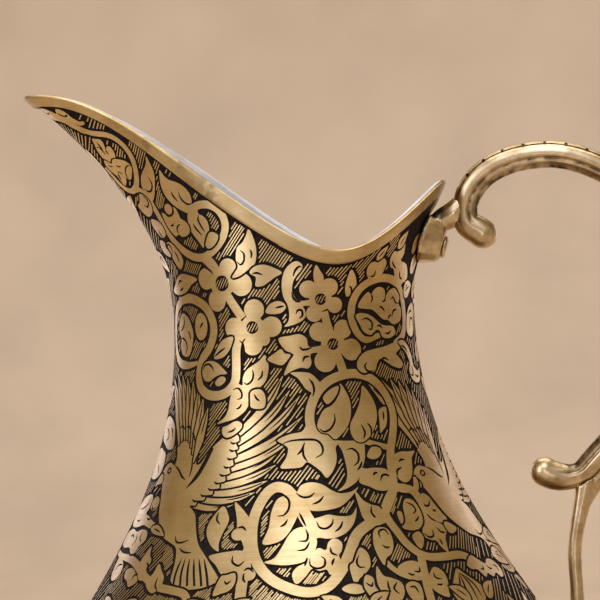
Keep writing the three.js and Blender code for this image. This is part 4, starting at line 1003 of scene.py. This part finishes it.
neck.form(ribbon([(37.4, 157.6), (42, 157.6), (45.5, 156.2), (47, 153.4), (47, 150.5)], 2.2, 1, 0.6), edge=0)
neck.form(blob((-24, 155.4), (-21.8, 153.6), (-21, 151.4), (-22.4, 148.4), (-23, 145.8), (-22.6, 143.9), (-25.4, 145.2),
               (-28, 148), (-28.4, 150.6), (-26.6, 153.4)),
          cuts=[[(-25.4, 153.8), (-25.5, 152), (-24, 150.8)]])
neck.form(blob((36, 147.4), (38.2, 149.8), (39, 152.8), (41, 154.6), (44, 154), (45.4, 151.6), (45, 148.6),
               (42.6, 146.8), (39.4, 146.4)),
          cuts=[[(40.6, 153.8), (43, 152.8), (43.6, 151.4), (42, 150.6)], [(41.4, 148.6), (42.8, 149), (43.8, 149.8)]])
neck.form(blob((35.8, 151.4), (37.6, 151.4), (37.4, 149.4), (36, 148.4)))
neck.form(blob((38.4, 145), (41.2, 146), (42.4, 144.6), (41.6, 142.9), (40, 141.6), (38.8, 142.6)))
neck.form(blob((53.6, 146.8), (55.4, 147.4), (59, 145.5), (56.6, 144.3), (54.2, 144.6)))
neck.form(blob((25.4, 146.8), (27, 148), (29.6, 147.9), (31, 146.6), (31, 143.6), (29.4, 141.2), (27.4, 140.2),
               (26.2, 138.4), (25.2, 140.4), (24.6, 143.6)),
          cuts=[[(27.2, 145.2), (27.4, 147), (29.4, 147.4), (30.4, 146)], [(27.2, 143.6), (28.4, 142.8), (29.6, 143)]])
neck.form(blob((19, 142.2), (20.4, 143.4), (22.2, 141.8), (22.2, 139), (20.6, 137.2), (18.4, 135.8), (16.8, 134.4),
               (16.2, 136.6), (16.2, 139), (17.6, 140)),
          cuts=[[(19.4, 141.6), (18.4, 140), (18.8, 138.6), (20.4, 138.4)]])
neck.cuts([(36.8, 137.2), (36.2, 136), (34.6, 136.2)], [(32.4, 136), (33.4, 135.4), (34.4, 135.4)],
          [(40.6, 135.4), (40.6, 134), (42.4, 133.4)], [(40, 132.4), (41, 132.1), (42, 132.2)])
neck.form(blob((13, 133.4), (15, 134.5), (17.6, 134.3), (19.4, 132.8), (17.6, 132), (15, 132.2)))
neck.form(blob((19, 134), (20, 136.4), (22, 135.6), (22, 133.4), (23.4, 131), (23.4, 128.6), (21, 129.8), (19.6, 132)),
          cuts=[[(19.6, 134.6), (21, 133.6), (21.6, 134.6)]])
neck.form(blob((23.8, 138.4), (22.8, 134.6), (23.6, 131.6), (25.2, 129.6), (28, 129.4), (29.8, 131.8), (29.4, 134),
               (27, 135.2), (25, 136)),
          cuts=[[(25.8, 134.6), (25.6, 133), (25.8, 131.6)], [(28.4, 134), (27, 132.6), (28, 131)]])
neck.form(blob((30.6, 133), (32.6, 133.8), (34.6, 133), (34.8, 130.6), (33.6, 128.2), (31.4, 129), (30.4, 131)),
          cuts=[[(31.4, 132.4), (33, 132.4), (33.6, 130.8)]])
neck.form(blob((49.6, 135.4), (51.8, 133.6), (54.6, 131.4), (55.8, 129.4), (54, 126.4), (50, 125.4), (45.6, 126.6),
               (44, 129.4), (45.6, 132), (47.6, 134)),
          cuts=[[(49.4, 134.2), (47.6, 131), (46.4, 127.6)], [(49.6, 134.2), (49.2, 131), (48.6, 126.6)],
                [(49.8, 134.2), (51.4, 131), (51.4, 126.6)], [(50, 134.2), (53, 131), (53.6, 127.6)]])
neck.form(blob((58.4, 138), (61, 136.6), (63.6, 135.2), (66, 136.2), (69, 135.6), (71.2, 133.6), (70.6, 131.4),
               (68.4, 131), (66.6, 132.4), (64, 131.6), (62, 132.8), (60, 132), (58, 134.2), (55.6, 134.6),
               (54.6, 136)),
          cuts=[[(63.8, 134.8), (64.6, 133.8), (66, 133.6)], [(67.6, 134.4), (69.2, 133.8), (69.2, 132.4)],
                [(59.6, 134.2), (61, 134), (61.8, 135)]])
neck.form(
    ribbon([(-78, 141.4), (-70, 140.9), (-62, 140.8), (-56, 140), (-50, 137.8), (-45, 136), (-40, 134.6), (-35, 134),
            (-30, 133), (-27.6, 129.6)], 2.3, 0.6, 1),
    blob((-72, 140.4), (-66, 139.8), (-63.2, 138), (-63.6, 135.6), (-67, 134.6), (-70.4, 136), (-72, 138)),
    blob((-59.4, 138), (-56, 138.6), (-52.5, 137.2), (-50.4, 135.6), (-53.4, 134), (-56, 135.3), (-58.8, 136.2)),
    blob((-53.4, 139.6), (-52.2, 143), (-50.8, 144.6), (-49.6, 142.4), (-47.8, 141), (-48.2, 138.6), (-46, 136.6),
         (-50, 136)),
    blob((-46, 135.4), (-44.4, 138), (-43.6, 140.4), (-41.4, 138.8), (-39.2, 136.8), (-39.6, 134.4), (-42, 133)),
)
neck.cuts([(-69.6, 136.8), (-68, 138.6), (-64.6, 139)], [(-53.8, 135.6), (-53.2, 137), (-51.4, 137.2)],
          [(-49.8, 140.4), (-48.4, 139.8), (-48.4, 138.4)], [(-41.8, 137), (-41.6, 135), (-40.2, 133.8)])
neck.form(blob((-21.4, 133), (-20.2, 137.4), (-18.4, 138), (-16, 138.4), (-15.6, 136), (-16.8, 134.2), (-19, 133.4)),
          cuts=[[(-18.8, 136.6), (-18, 135.8), (-16.8, 136.6)]])
neck.form(blob((-82, 152.6), (-76, 155.6), (-70, 157.2), (-65, 157.4), (-62.6, 155), (-64.6, 152.6), (-61, 152),
               (-56, 150.8), (-52, 150), (-56, 149), (-62, 149.6), (-66, 149), (-72, 148.4), (-78, 149.4)),
          cuts=[[(-74, 153), (-70, 153.8), (-66.4, 155), (-66, 156.4)], [(-62, 151.4), (-60, 151.2), (-58, 151.6)],
                [(-72, 150.4), (-69.6, 150.2), (-67.4, 150.8)]])
neck.form(ellipse((-59.8, 155.4), 2.4, 2.1), cuts=[[(-61.6, 154.8), (-60, 153.8), (-58.4, 154.6)]])
neck.form(blob((-80, 146), (-72, 148), (-66, 147.6), (-62, 148.4), (-57.6, 148.2), (-56, 146), (-58.4, 144.4),
               (-59.8, 142.4), (-62.6, 142), (-66, 143.4), (-72, 143), (-78, 143.6)),
          cuts=[[(-64.6, 147), (-63.2, 145.6), (-64.6, 144)], [(-60.6, 148), (-60.8, 146.4), (-58.6, 145.2)],
                [(-71, 146), (-68.6, 146.6), (-66.6, 146)]])
neck.leaf((-55.6, 149.2), (-46.4, 147.4), 2.6, 0.05)
neck.form(blob((-84, 176), (-76, 178.4), (-69, 178.4), (-63, 176.6), (-60, 173.6), (-59, 170.4), (-64, 169.8),
               (-70, 171), (-77, 172.4)),
          cuts=[[(-73, 175.4), (-69.4, 174.8), (-67, 173), (-70, 172)], [(-66.4, 175.8), (-63.8, 174.8), (-62, 173)]])
neck.form(blob((-84, 168), (-76, 169.8), (-70, 169.4), (-65.4, 168.4), (-64, 165), (-66.4, 162.4), (-72, 161.4),
               (-80, 162.4)),
          cuts=[[(-71.6, 165.6), (-69.6, 164.6), (-68, 163.2)]])
neck.leaf((-82, 181), (-72, 187), 5.2, 0.1, 2)
neck.leaf((-90, 186), (-80, 197), 5.6, 0.08, 2)
neck.leaf((-90, 202), (-79, 209), 5.4, 0.1, 2)
neck.leaf((-90, 212), (-78, 217), 4.6, 0.06)
neck.leaf((-91, 156), (-80, 161), 5.0, 0.06)
neck.leaf((82, 186), (91, 178), 4.6, 0.1)
neck.leaf((-92, 146), (-82, 139), 5.0, 0.1, 2)
neck.leaf((72, 137), (82, 133), 5.4, 0.1, 2)
neck.leaf((76, 142), (88, 138), 5.0, 0.1, 2)

# The whole pattern sags a little at the front, where the wall stands forward,
# and is turned towards the handle. A deep line parts it from the rim band.
SAG, TURN, PARTING = 0.042, 1.6, 0.9
neck.layers = [
    (o + np.stack([
        np.full(len(o), TURN), -SAG * wall_radius(*o.T) * np.cos(np.radians(o[:, 0])),
    ], 1), stands)
    for o, stands in neck.layers
]
edge_turn = np.linspace(-95, 95, 191)
neck.layers.append((np.vstack([
    np.stack([edge_turn, under_band(edge_turn) - PARTING], 1),
    np.stack([edge_turn, under_band(edge_turn) + 3], 1)[::-1],
]), False))

# Lower shoulder: below the photo the scrolls go on as a running frieze of
# ringed flowers and half-palmettes above a plain border at the seam.
FRIEZE, RING_Z = 36.0, 109
for i in range(-3, 3):
    mid = (i + 0.5) * FRIEZE
    gap = mid + FRIEZE / 2
    around = np.radians(20 * i + np.arange(0, 360, 72))
    neck.ring((mid, RING_Z), 15.5, 14.0, 2.6)
    neck.form(*petals((mid, RING_Z), 4.6, *(
        (mid + 6.4 * math.cos(a), RING_Z + 5.6 * math.sin(a), 3.4) for a in around
    )))
    neck.hub((mid, RING_Z), 2.4)
    neck.stem([(gap - 6.5, 120.5), (gap, 116), (gap + 6.5, 120.5)], 2.2, 0.5, 0.5)
    neck.stem([(gap - 6, 98.2), (gap, 102.4), (gap + 6, 98.2)], 2.2, 0.5, 0.5)
    neck.leaf((gap, 104), (gap, 114.6), 6.2, 0, 3)
    neck.leaf((gap - 1, 118.4), (gap - 5.4, 125.6), 4.2, 0.1)
    neck.leaf((gap + 1, 118.4), (gap + 5.4, 125.6), 4.2, -0.1)
    neck.leaf((gap, 101), (gap, 94.2), 4.4)
    neck.leaf((mid - 3.5, 125.4), (mid - 9, 129.6), 3.8, -0.1)
    neck.leaf((mid + 3.5, 125.4), (mid + 9, 129.6), 3.8, 0.1)
neck.leave(level(88.6, 92.6), level(81, 87.2), edge=0)
neck.hatch(92.6, 268)
half_pieces("upper_shell", *neck.skin(SEAM + 0.3, under_band))

# Lining: tin, wiped hot over the inside of the sheet. The sheet's cut edge
# shows as a bright line round the rim.
turns = np.linspace(-180, 180, 240, endpoint=False)
reach, rise = rim_of(turns)
cut_level = 1 - SHEET / np.hypot(FLARE * (reach - THROAT), rise)
below = np.repeat(np.linspace(BELLY_Z, THROAT_Z, 50)[:-1, None], len(turns), 1)
above = np.array([THROAT_Z + share * rise * cut_level for share in np.linspace(0, 1, 36)])
lining_z = np.vstack([below, above])
inner, _ = on_wall(np.tile(turns, (len(lining_z), 1)), lining_z, np.full(lining_z.shape, -SHEET))
JUST_UNDER_RIM = 0.998
cut_edge, _ = on_wall(turns, THROAT_Z + rise * JUST_UNDER_RIM)
rows = np.concatenate([inner, cut_edge[None]])
lining_piece = add_piece(
    "upper_shell_lining", rows.reshape(-1, 3), grid_faces(len(rows), len(turns), False, True), tin, "upper_shell",
    "engraved_brass",
)
lining_piece.data.set_sharp_from_angle(angle=math.radians(50))


# Rim band: a plain strip of brass, soldered along the outside of the rim and
# following its saddle, with its edges rubbed round, a few old stains on the
# lip side, and painted shade darkening it near the handle.
def settle_grime_and_shade(piece, amount):
    """Lays this much darkening on each point of a piece, for the brass to show: dirt, stains and painted shade."""
    layer = piece.data.attributes.new("grime_and_shade", "FLOAT", "POINT")
    layer.data.foreach_set("value", amount)


band_turns = np.concatenate([
    np.linspace(a, b, steps)[:-1] for a, b, steps in ((-90, -75, 60), (-75, 90, 160), (90, 255, 160), (255, 270, 60))
])
section = [
    (0.0, 0.2), (0.0, 0.75), (0.06, 0.93), (0.16, 0.98), (0.5, 0.98), (0.84, 0.98), (0.94, 0.93), (1.0, 0.75),
    (1.0, 0.2),
]
rise, start = rim_of(band_turns)[1], band_start(band_turns)
strip = np.array([
    on_wall(band_turns, THROAT_Z + rise * (start + (1 - start) * share), np.full(len(band_turns), out))[0]
    for share, out in section
])
faces = grid_faces(len(section), len(band_turns), True, True)
rim_band = add_piece("rim_band_strip", strip.reshape(-1, 3), faces, sheet_brass, "rim_band", "plain_brass")
weld_and_turn_out(rim_band)
# Darkening as (degrees round, spread, strength): those on the lip side are old stains; the two near the handle paint
# shade onto the band's end.
STAINS_AND_SHADE = [(-87, 3, 0.5), (-57, 4, 0.35), (-43, 4, 0.4), (-32, 4, 0.75), (66, 9, 0.4), (84, 8, 0.9)]
around = folded([math.degrees(math.atan2(v.co.x, -v.co.y)) for v in rim_band.data.vertices])
settle_grime_and_shade(rim_band, sum(
    strength * np.exp(-((around - at) / spread) ** 2) for at, spread, strength in STAINS_AND_SHADE
))


# Lug: a cast brass boss riveted to the back of the neck, with a stout stem
# that is brazed to the bow. Its edges are softened as a sand casting's are.
cast_brass = brass(
    "cast_brass", (0.33, 0.21, 0.085), (0.74, 0.57, 0.33), roughness=0.34, brush=260.0, patch=170.0
)


def cast_copy(node, name, grain, rounds, swell=()):
    """The node's casting with softened edges, and a swelling run into it."""
    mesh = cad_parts[node].data.copy()
    mesh.name = name
    mesh.materials.clear()
    mesh.materials.append(cast_brass)
    piece = bpy.data.objects.new(name, mesh)
    bpy.context.scene.collection.objects.link(piece)
    shape = bmesh.new()
    shape.from_mesh(mesh)
    bmesh.ops.remove_doubles(shape, verts=shape.verts, dist=1e-6)
    for x, z, radius in smooth(swell) * MM if len(swell) else ():
        at = Matrix.Translation((x, 0, z))
        bmesh.ops.create_icosphere(shape, subdivisions=2, radius=radius, matrix=at)
    shape.to_mesh(mesh)
    shape.free()
    skin = piece.modifiers.new("cast skin", "REMESH")
    skin.mode = "VOXEL"
    skin.voxel_size = grain * MM
    soften = piece.modifiers.new("soft edges", "SMOOTH")
    soften.iterations = rounds
    soften.factor = 0.5
    bpy.context.view_layer.update()
    done = bpy.data.meshes.new_from_object(piece.evaluated_get(bpy.context.evaluated_depsgraph_get()))
    piece.modifiers.clear()
    piece.data = done
    done.name = name
    done.shade_smooth()
    return dress(piece, node, "cast_brass")


# Middle line of the stem as (x, z, radius).
STEM = [(40.5, 227.6, 2.9), (43.2, 229.6, 3.4), (46.4, 231.1, 3.8), (48.2, 233.0, 3.3)]
cast_copy("upper_lug", "upper_lug_cast", grain=0.28, rounds=5, swell=STEM)


# Bow: the cast brass C-scroll of the handle, ridged along its length, with a
# row of small nicks filed across its outer edge and a round bud at each curled
# end. It is brazed to the lug and the leg. Old polish darkens its groove and
# hollow, and painted shade darkens its inner flat and rounded underside.
def leaving(degrees):
    """The direction back towards the jug, this steeply upwards."""
    return np.array([-math.cos(math.radians(degrees)), math.sin(math.radians(degrees))])


UP, OUT, DOWN = np.array([0.0, 1]), np.array([1.0, 0]), np.array([0.0, -1])
upper_joint, lower_joint = np.array([49.8, 231.4]), np.array([80.5, 158.0])
crest, farthest = np.array([72.5, 246.6]), np.array([110.0, 207.0])
upper_bud, lower_bud = np.array([54.4, 225.2]), np.array([68.6, 157.6])
bow_line = np.vstack([
    bezier(a, a + p * d, b - q * e, b, 60)[:-1]
    for a, p, d, b, q, e in (
        (upper_bud, leaving(40), 4, upper_joint, UP, 4),
        (upper_joint, UP, 7, crest, OUT, 16),
        (crest, OUT, 16, farthest, DOWN, 23),
        (farthest, DOWN, 23, lower_joint, leaving(-47), 16),
        (lower_joint, leaving(-47), 4, lower_bud, leaving(35), 4),
    )
] + [lower_bud])
bow_run = np.concatenate([[0], np.cumsum(np.hypot(*np.diff(bow_line, axis=0).T))])
BOW_LENGTH = bow_run[-1]
stations = np.linspace(0, BOW_LENGTH, int(BOW_LENGTH / 0.7))
spine = np.stack([np.interp(stations, bow_run, bow_line[:, i]) for i in (0, 1)], 1)
heading = np.gradient(spine, axis=0)
heading /= np.hypot(*heading.T)[:, None]
outward = np.stack([-heading[:, 1], heading[:, 0]], 1)
# Across the bar, from its outer edge to its inner edge: an edge strip and a
# fine groove, the broad ridge, a hollow, a bead and the rounded underside.
facets = [
    (1.0, 0.0), (1.0, 0.4), (0.93, 0.56), (0.8, 0.66), (0.76, 0.6), (0.71, 0.68), (0.57, 0.82), (0.36, 0.93),
    (0.12, 0.99), (-0.02, 1.0), (-0.14, 0.95), (-0.24, 0.83), (-0.32, 0.79), (-0.42, 0.81), (-0.56, 0.79),
    (-0.69, 0.69), (-0.85, 0.5), (-0.97, 0.32), (-1.0, 0.18), (-1.0, 0.0),
]
facets += [(n, -y) for n, y in facets[-2:0:-1]]
BUD, BUD_FLATNESS, TRIM = 4.15, 0.96, 0.99
END_THICK, END_WIDE, MORE_THICK, MORE_WIDE = 7.4, 7.6, 0.2, 1.0
SWELL_RUN, ROUND_RUN, WAIST, WAIST_AT, WAIST_RUN = 30, 11, 0.1, 8.5, 3.5
from_end = np.minimum(stations, BOW_LENGTH - stations)
middle = np.clip(from_end / SWELL_RUN, 0, 1)
rounding = np.clip(1 - from_end / ROUND_RUN, 0, 1)
rounding = rounding ** 2 * (3 - 2 * rounding)
slim = 1 - WAIST * np.exp(-((from_end - WAIST_AT) / WAIST_RUN) ** 2)
thick = ((END_THICK + MORE_THICK * middle) / 2 * TRIM * slim) * (1 - rounding) + BUD * rounding
wide = ((END_WIDE + MORE_WIDE * middle) / 2 * TRIM * slim) * (1 - rounding) + BUD_FLATNESS * BUD * rounding
bar_points = []
for n, y in facets:
    lean = math.atan2(y, n)
    n = n * (1 - rounding) + math.cos(lean) * rounding
    y = y * (1 - rounding) + math.sin(lean) * rounding
    away = spine + outward * (n * thick)[:, None]
    bar_points.append(np.stack([away[:, 0], y * wide, away[:, 1]], 1))
bar_points = np.array(bar_points).transpose(1, 0, 2).reshape(-1, 3)
first_end = list(range(len(facets)))
last_end = [len(bar_points) - 1 - corner for corner in first_end]
bar_faces = [*grid_faces(len(stations), len(facets), False, True), first_end, last_end]


def file_strokes(name, cutting):
    """Round strokes across a bar, evenly along a line: cut out of it, or left."""
    tree = bpy.data.node_groups.new(name, "GeometryNodeTree")
    inputs = {
        name: tree.interface.new_socket(name=name, in_out="INPUT", socket_type=f"NodeSocket{kind}").identifier
        for name, kind in (
            ("Bar", "Geometry"), ("Line", "Object"), ("Spacing", "Float"), ("Depth", "Float"), ("Radius", "Float"),
            ("Length", "Float"), ("Material", "Material"),
        )
    }
    tree.interface.new_socket(name="Filed bar", in_out="OUTPUT", socket_type="NodeSocketGeometry")
    nodes, links = tree.nodes, tree.links
    given, result = nodes.new("NodeGroupInput"), nodes.new("NodeGroupOutput")
    line = nodes.new("GeometryNodeObjectInfo")
    links.new(given.outputs["Line"], line.inputs["Object"])
    marks = nodes.new("GeometryNodeResampleCurve")
    marks.mode = "LENGTH"
    links.new(line.outputs["Geometry"], marks.inputs["Curve"])
    links.new(given.outputs["Spacing"], marks.inputs["Length"])
    along = nodes.new("GeometryNodeInputTangent")
    inward = nodes.new("ShaderNodeVectorMath")
    inward.operation = "CROSS_PRODUCT"
    inward.inputs[0].default_value = (0, 1, 0)
    links.new(along.outputs["Tangent"], inward.inputs[1])
    sink = nodes.new("ShaderNodeVectorMath")
    sink.operation = "SCALE"
    links.new(inward.outputs["Vector"], sink.inputs[0])
    links.new(given.outputs["Depth"], sink.inputs["Scale"])
    sunk_marks = nodes.new("GeometryNodeSetPosition")
    links.new(marks.outputs["Curve"], sunk_marks.inputs["Geometry"])
    links.new(sink.outputs["Vector"], sunk_marks.inputs["Offset"])
    file = nodes.new("GeometryNodeMeshCylinder")
    file.inputs["Vertices"].default_value = 14
    links.new(given.outputs["Radius"], file.inputs["Radius"])
    links.new(given.outputs["Length"], file.inputs["Depth"])
    across = nodes.new("GeometryNodeTransform")
    across.inputs["Rotation"].default_value = (math.pi / 2, 0, 0)
    links.new(file.outputs["Mesh"], across.inputs["Geometry"])
    strokes = nodes.new("GeometryNodeInstanceOnPoints")
    links.new(sunk_marks.outputs["Geometry"], strokes.inputs["Points"])
    links.new(across.outputs["Geometry"], strokes.inputs["Instance"])
    solid_strokes = nodes.new("GeometryNodeRealizeInstances")
    links.new(strokes.outputs["Instances"], solid_strokes.inputs["Geometry"])
    shape = solid_strokes.outputs["Geometry"]
    if cutting:
        cut = nodes.new("GeometryNodeMeshBoolean")
        cut.operation = "DIFFERENCE"
        cut.solver = "EXACT"
        links.new(given.outputs["Bar"], cut.inputs["Mesh 1"])
        links.new(shape, cut.inputs["Mesh 2"])
        shape = cut.outputs["Mesh"]
    realize = nodes.new("GeometryNodeRealizeInstances")
    links.new(shape, realize.inputs["Geometry"])
    dressed = nodes.new("GeometryNodeSetMaterial")
    links.new(realize.outputs["Geometry"], dressed.inputs["Geometry"])
    links.new(given.outputs["Material"], dressed.inputs["Material"])
    links.new(dressed.outputs["Geometry"], result.inputs[0])
    return tree, inputs


STROKES_BEGIN, STROKES_END, NICKS = 17, 15, round(BOW_LENGTH / 5.9) - 5
filed = (stations > STROKES_BEGIN) & (stations < BOW_LENGTH - STROKES_END)


def along_edge(name, points, faces, depth, cutting, radius, length, material):
    """A mesh made by the strokes, this deep in the bow's outer edge."""
    edge = (spine + outward * thick[:, None])[filed][::4]
    line_data = bpy.data.curves.new(name, "CURVE")
    line_data.dimensions = "3D"
    stroke = line_data.splines.new("POLY")
    stroke.points.add(len(edge) - 1)
    for point, (x, z) in zip(stroke.points, edge * MM):
        point.co = (x, 0, z, 1)
    line = bpy.data.objects.new(name + "_line", line_data)
    start = bpy.data.meshes.new(name)
    start.from_pydata((np.array(points) * MM).tolist(), [], faces)
    bar = bpy.data.objects.new(name, start)
    for helper in (line, bar):
        bpy.context.scene.collection.objects.link(helper)
    tree, inputs = file_strokes(name, cutting)
    work = bar.modifiers.new("strokes", "NODES")
    work.node_group = tree
    spacing = np.hypot(*np.diff(edge, axis=0).T).sum() / NICKS
    for socket, value in (
        ("Line", line), ("Spacing", spacing * MM), ("Depth", depth * MM), ("Radius", radius * MM),
        ("Length", length * MM), ("Material", material),
    ):
        work[inputs[socket]] = value
    bpy.context.view_layer.update()
    result = bpy.data.meshes.new_from_object(bar.evaluated_get(bpy.context.evaluated_depsgraph_get()))
    bar.modifiers.clear()
    for helper in (line, bar):
        bpy.data.objects.remove(helper)
    return [tuple(v.co / MM) for v in result.vertices], [tuple(p.vertices) for p in result.polygons]


bow_points, faces = along_edge(
    "filed_bow", bar_points, bar_faces, depth=-0.1, cutting=True, radius=0.7, length=16, material=cast_brass
)
dirt_points, dirt_faces = along_edge(
    "nick_dirt", [], [], depth=0.72, cutting=False, radius=0.5, length=5.5, material=black_ground
)
add_piece("handle_bow_nick_dirt", dirt_points, dirt_faces, black_ground, "handle_bow", "cast_brass")
latitudes, longitudes = 18, 28
for x, z in (upper_bud, lower_bud):
    first = len(bow_points)
    bow_points += [
        (x + BUD * math.sin(a) * math.cos(b), BUD_FLATNESS * BUD * math.cos(a), z + BUD * math.sin(a) * math.sin(b))
        for a in np.linspace(0, math.pi, latitudes + 1)
        for b in np.linspace(0, 2 * math.pi, longitudes, endpoint=False)
    ]
    faces += [tuple(first + corner for corner in face) for face in grid_faces(latitudes + 1, longitudes, False, True)]
bow = add_piece("handle_bow_cast", bow_points, faces, cast_brass, "handle_bow", "cast_brass")
weld_and_turn_out(bow, math.radians(17))
skin = np.array([v.co / MM for v in bow.data.vertices])
nearest = np.array([np.argmin(np.hypot(*(spine - p).T)) for p in skin[:, [0, 2]]])
across = ((skin[:, [0, 2]] - spine[nearest]) * outward[nearest]).sum(1) / thick[nearest]
# Darkening across the bar, as (place from outer to inner edge, amount): old polish in the groove and the hollow, and
# painted shade on the inner flat and the rounded underside.
polish_and_shade_across = [
    (-1, 1.4), (-0.8, 1.1), (-0.62, 0.4), (-0.5, 0.2), (-0.32, 1.3), (-0.18, 0), (0.7, 0), (0.76, 1.6), (0.81, 0),
]
shade = np.interp(across, *zip(*polish_and_shade_across))
settle_grime_and_shade(bow, shade * (1 - np.clip(rounding[nearest] * 1.6 - 0.5, 0, 1)))


# Leg: the cast brass strut that branches off under the bow's lower curl, sways
# a little towards the jug and ends in a leaf-shaped pad, riveted to the
# shoulder.
BRANCH = [
    (78.4, 144.5, 1.7), (79.6, 148.2, 2.5), (81.2, 151.4, 2.8), (83.6, 154.8, 2.6), (86.6, 158.4, 2.0),
    (90, 162.5, 0.8),
]
SWAY, SWAY_Z, SWAY_RUN = 1.4, 142.5, 12.5
leg = cast_copy("lower_leg", "lower_leg_cast", grain=0.3, rounds=6, swell=BRANCH)
for point in leg.data.vertices:
    point.co.x -= SWAY * MM * math.exp(-((point.co.z / MM - SWAY_Z) / SWAY_RUN) ** 2)


# Rivets: brass, one through the lug and one through the pad, hammered to low
# heads with rounded edges outside and to flat heads inside.
for node in ("upper_rivet", "lower_rivet"):
    cast_copy(node, f"{node}_head", grain=0.2, rounds=2)


# Stage: one sheet of pale beige card, laid as a floor and bent up into a wall
# behind the jug.
beige_card = matt(
    "beige_card", (0.64, 0.52, 0.40), scale=9.0, detail=3.0, dark=(0.3, 0.93), light=(0.7, 1.07), shine=0.1,
    roughness=0.9,
)
CARD_FRONT, CARD_SIDE, CARD_TOP, WALL, BEND = -3.0, 4.0, 3.0, 2.15, 0.6
fold = [(CARD_FRONT, 0.0)]
fold += [(WALL - BEND + BEND * math.sin(a), BEND - BEND * math.cos(a)) for a in np.linspace(0, math.pi / 2, 16)]
fold += [(WALL, CARD_TOP)]
backdrop = bpy.data.meshes.new("backdrop")
backdrop.from_pydata(
    [(x, y, z) for x in (-CARD_SIDE, CARD_SIDE) for y, z in fold], [],
    [(i, len(fold) + i, len(fold) + i + 1, i + 1) for i in range(len(fold) - 1)],
)
backdrop.shade_smooth()
backdrop.materials.append(beige_card)
sweep_card = bpy.data.objects.new("backdrop", backdrop)
bpy.context.scene.collection.objects.link(sweep_card)


# Light: cool daylight from the left, from above and from a narrow window in
# front, a weak lamp behind each side for the edges, two plain lamps on the
# card, and a warm, even room.
DAYLIGHT = (0.90, 0.98, 1.32)


def lamp(name, place, aim, size, power, tint=(1, 1, 1)):
    """A rectangular lamp that shines from its place towards its aim."""
    light = bpy.data.lights.new(name, "AREA")
    light.shape = "RECTANGLE"
    light.size, light.size_y = size
    light.energy = power
    light.color = tint
    holder = bpy.data.objects.new(name, light)
    holder.location = place
    holder.rotation_euler = (Vector(aim) - Vector(place)).to_track_quat("-Z", "Y").to_euler()
    bpy.context.scene.collection.objects.link(holder)


lamp("left_lamp", (-0.80, -0.86, 0.62), (0, 0, 0.19), (0.4, 0.9), 3.5, DAYLIGHT)
lamp("front_lamp", (0.02, -0.75, 1.15), (0, 0, 0.16), (0.7, 0.65), 4.0, DAYLIGHT)
lamp("window_lamp", (0.02, -1.6, 0.3), (0, 0, 0.2), (0.13, 0.7), 1.7, DAYLIGHT)
lamp("left_edge_lamp", (-0.62, 0.82, 0.3), (0, 0, 0.2), (0.3, 0.7), 1.0, DAYLIGHT)
lamp("right_edge_lamp", (0.62, 0.85, 0.3), (0, 0, 0.2), (0.3, 0.7), 0.7, DAYLIGHT)
lamp("back_lamp", (0, 0.3, 1.7), (0, 0.9, 0.2), (1.6, 0.8), 12)
lamp("wall_lamp", (0, 1.25, 2.2), (0, 2.1, 0.2), (2.2, 0.8), 14)
world = bpy.data.worlds.new("room")
world.use_nodes = True
room = world.node_tree.nodes["Background"]
room.inputs["Color"].default_value = (0.80, 0.65, 0.46, 1)
room.inputs["Strength"].default_value = 0.52
bpy.context.scene.world = world
bpy.context.scene.view_settings.view_transform = "Standard"


# Camera: a little below the throat of the jug and turned towards the handle,
# rolled as the photo is and cut off below the shoulder.
VIEW_AZIMUTH, VIEW_HEIGHT, VIEW_DISTANCE, VIEW_ROLL = 5.6, -0.9, 0.9, 2.75
FRAME_WIDTH, SENSOR, SHIFT_RIGHT, SHIFT_UP = 0.1698, 36.0, 0.01, 0.025
azimuth, height = math.radians(VIEW_AZIMUTH), math.radians(VIEW_HEIGHT)
back = Vector((math.sin(azimuth) * math.cos(height), -math.cos(azimuth) * math.cos(height), math.sin(height)))
throat = Vector((0, 0, THROAT_Z * MM))
camera = bpy.data.objects.new("camera", bpy.data.cameras.new("camera"))
camera.data.sensor_width = SENSOR
camera.data.lens = SENSOR * VIEW_DISTANCE / FRAME_WIDTH
camera.data.shift_x, camera.data.shift_y = SHIFT_RIGHT, SHIFT_UP
camera.data.clip_start = 0.01
turn = (-back).to_track_quat("-Z", "Y").to_matrix() @ Matrix.Rotation(math.radians(-VIEW_ROLL), 3, "Z")
camera.matrix_world = Matrix.Translation(throat + back * VIEW_DISTANCE) @ turn.to_4x4()
bpy.context.scene.collection.objects.link(camera)
bpy.context.scene.camera = camera
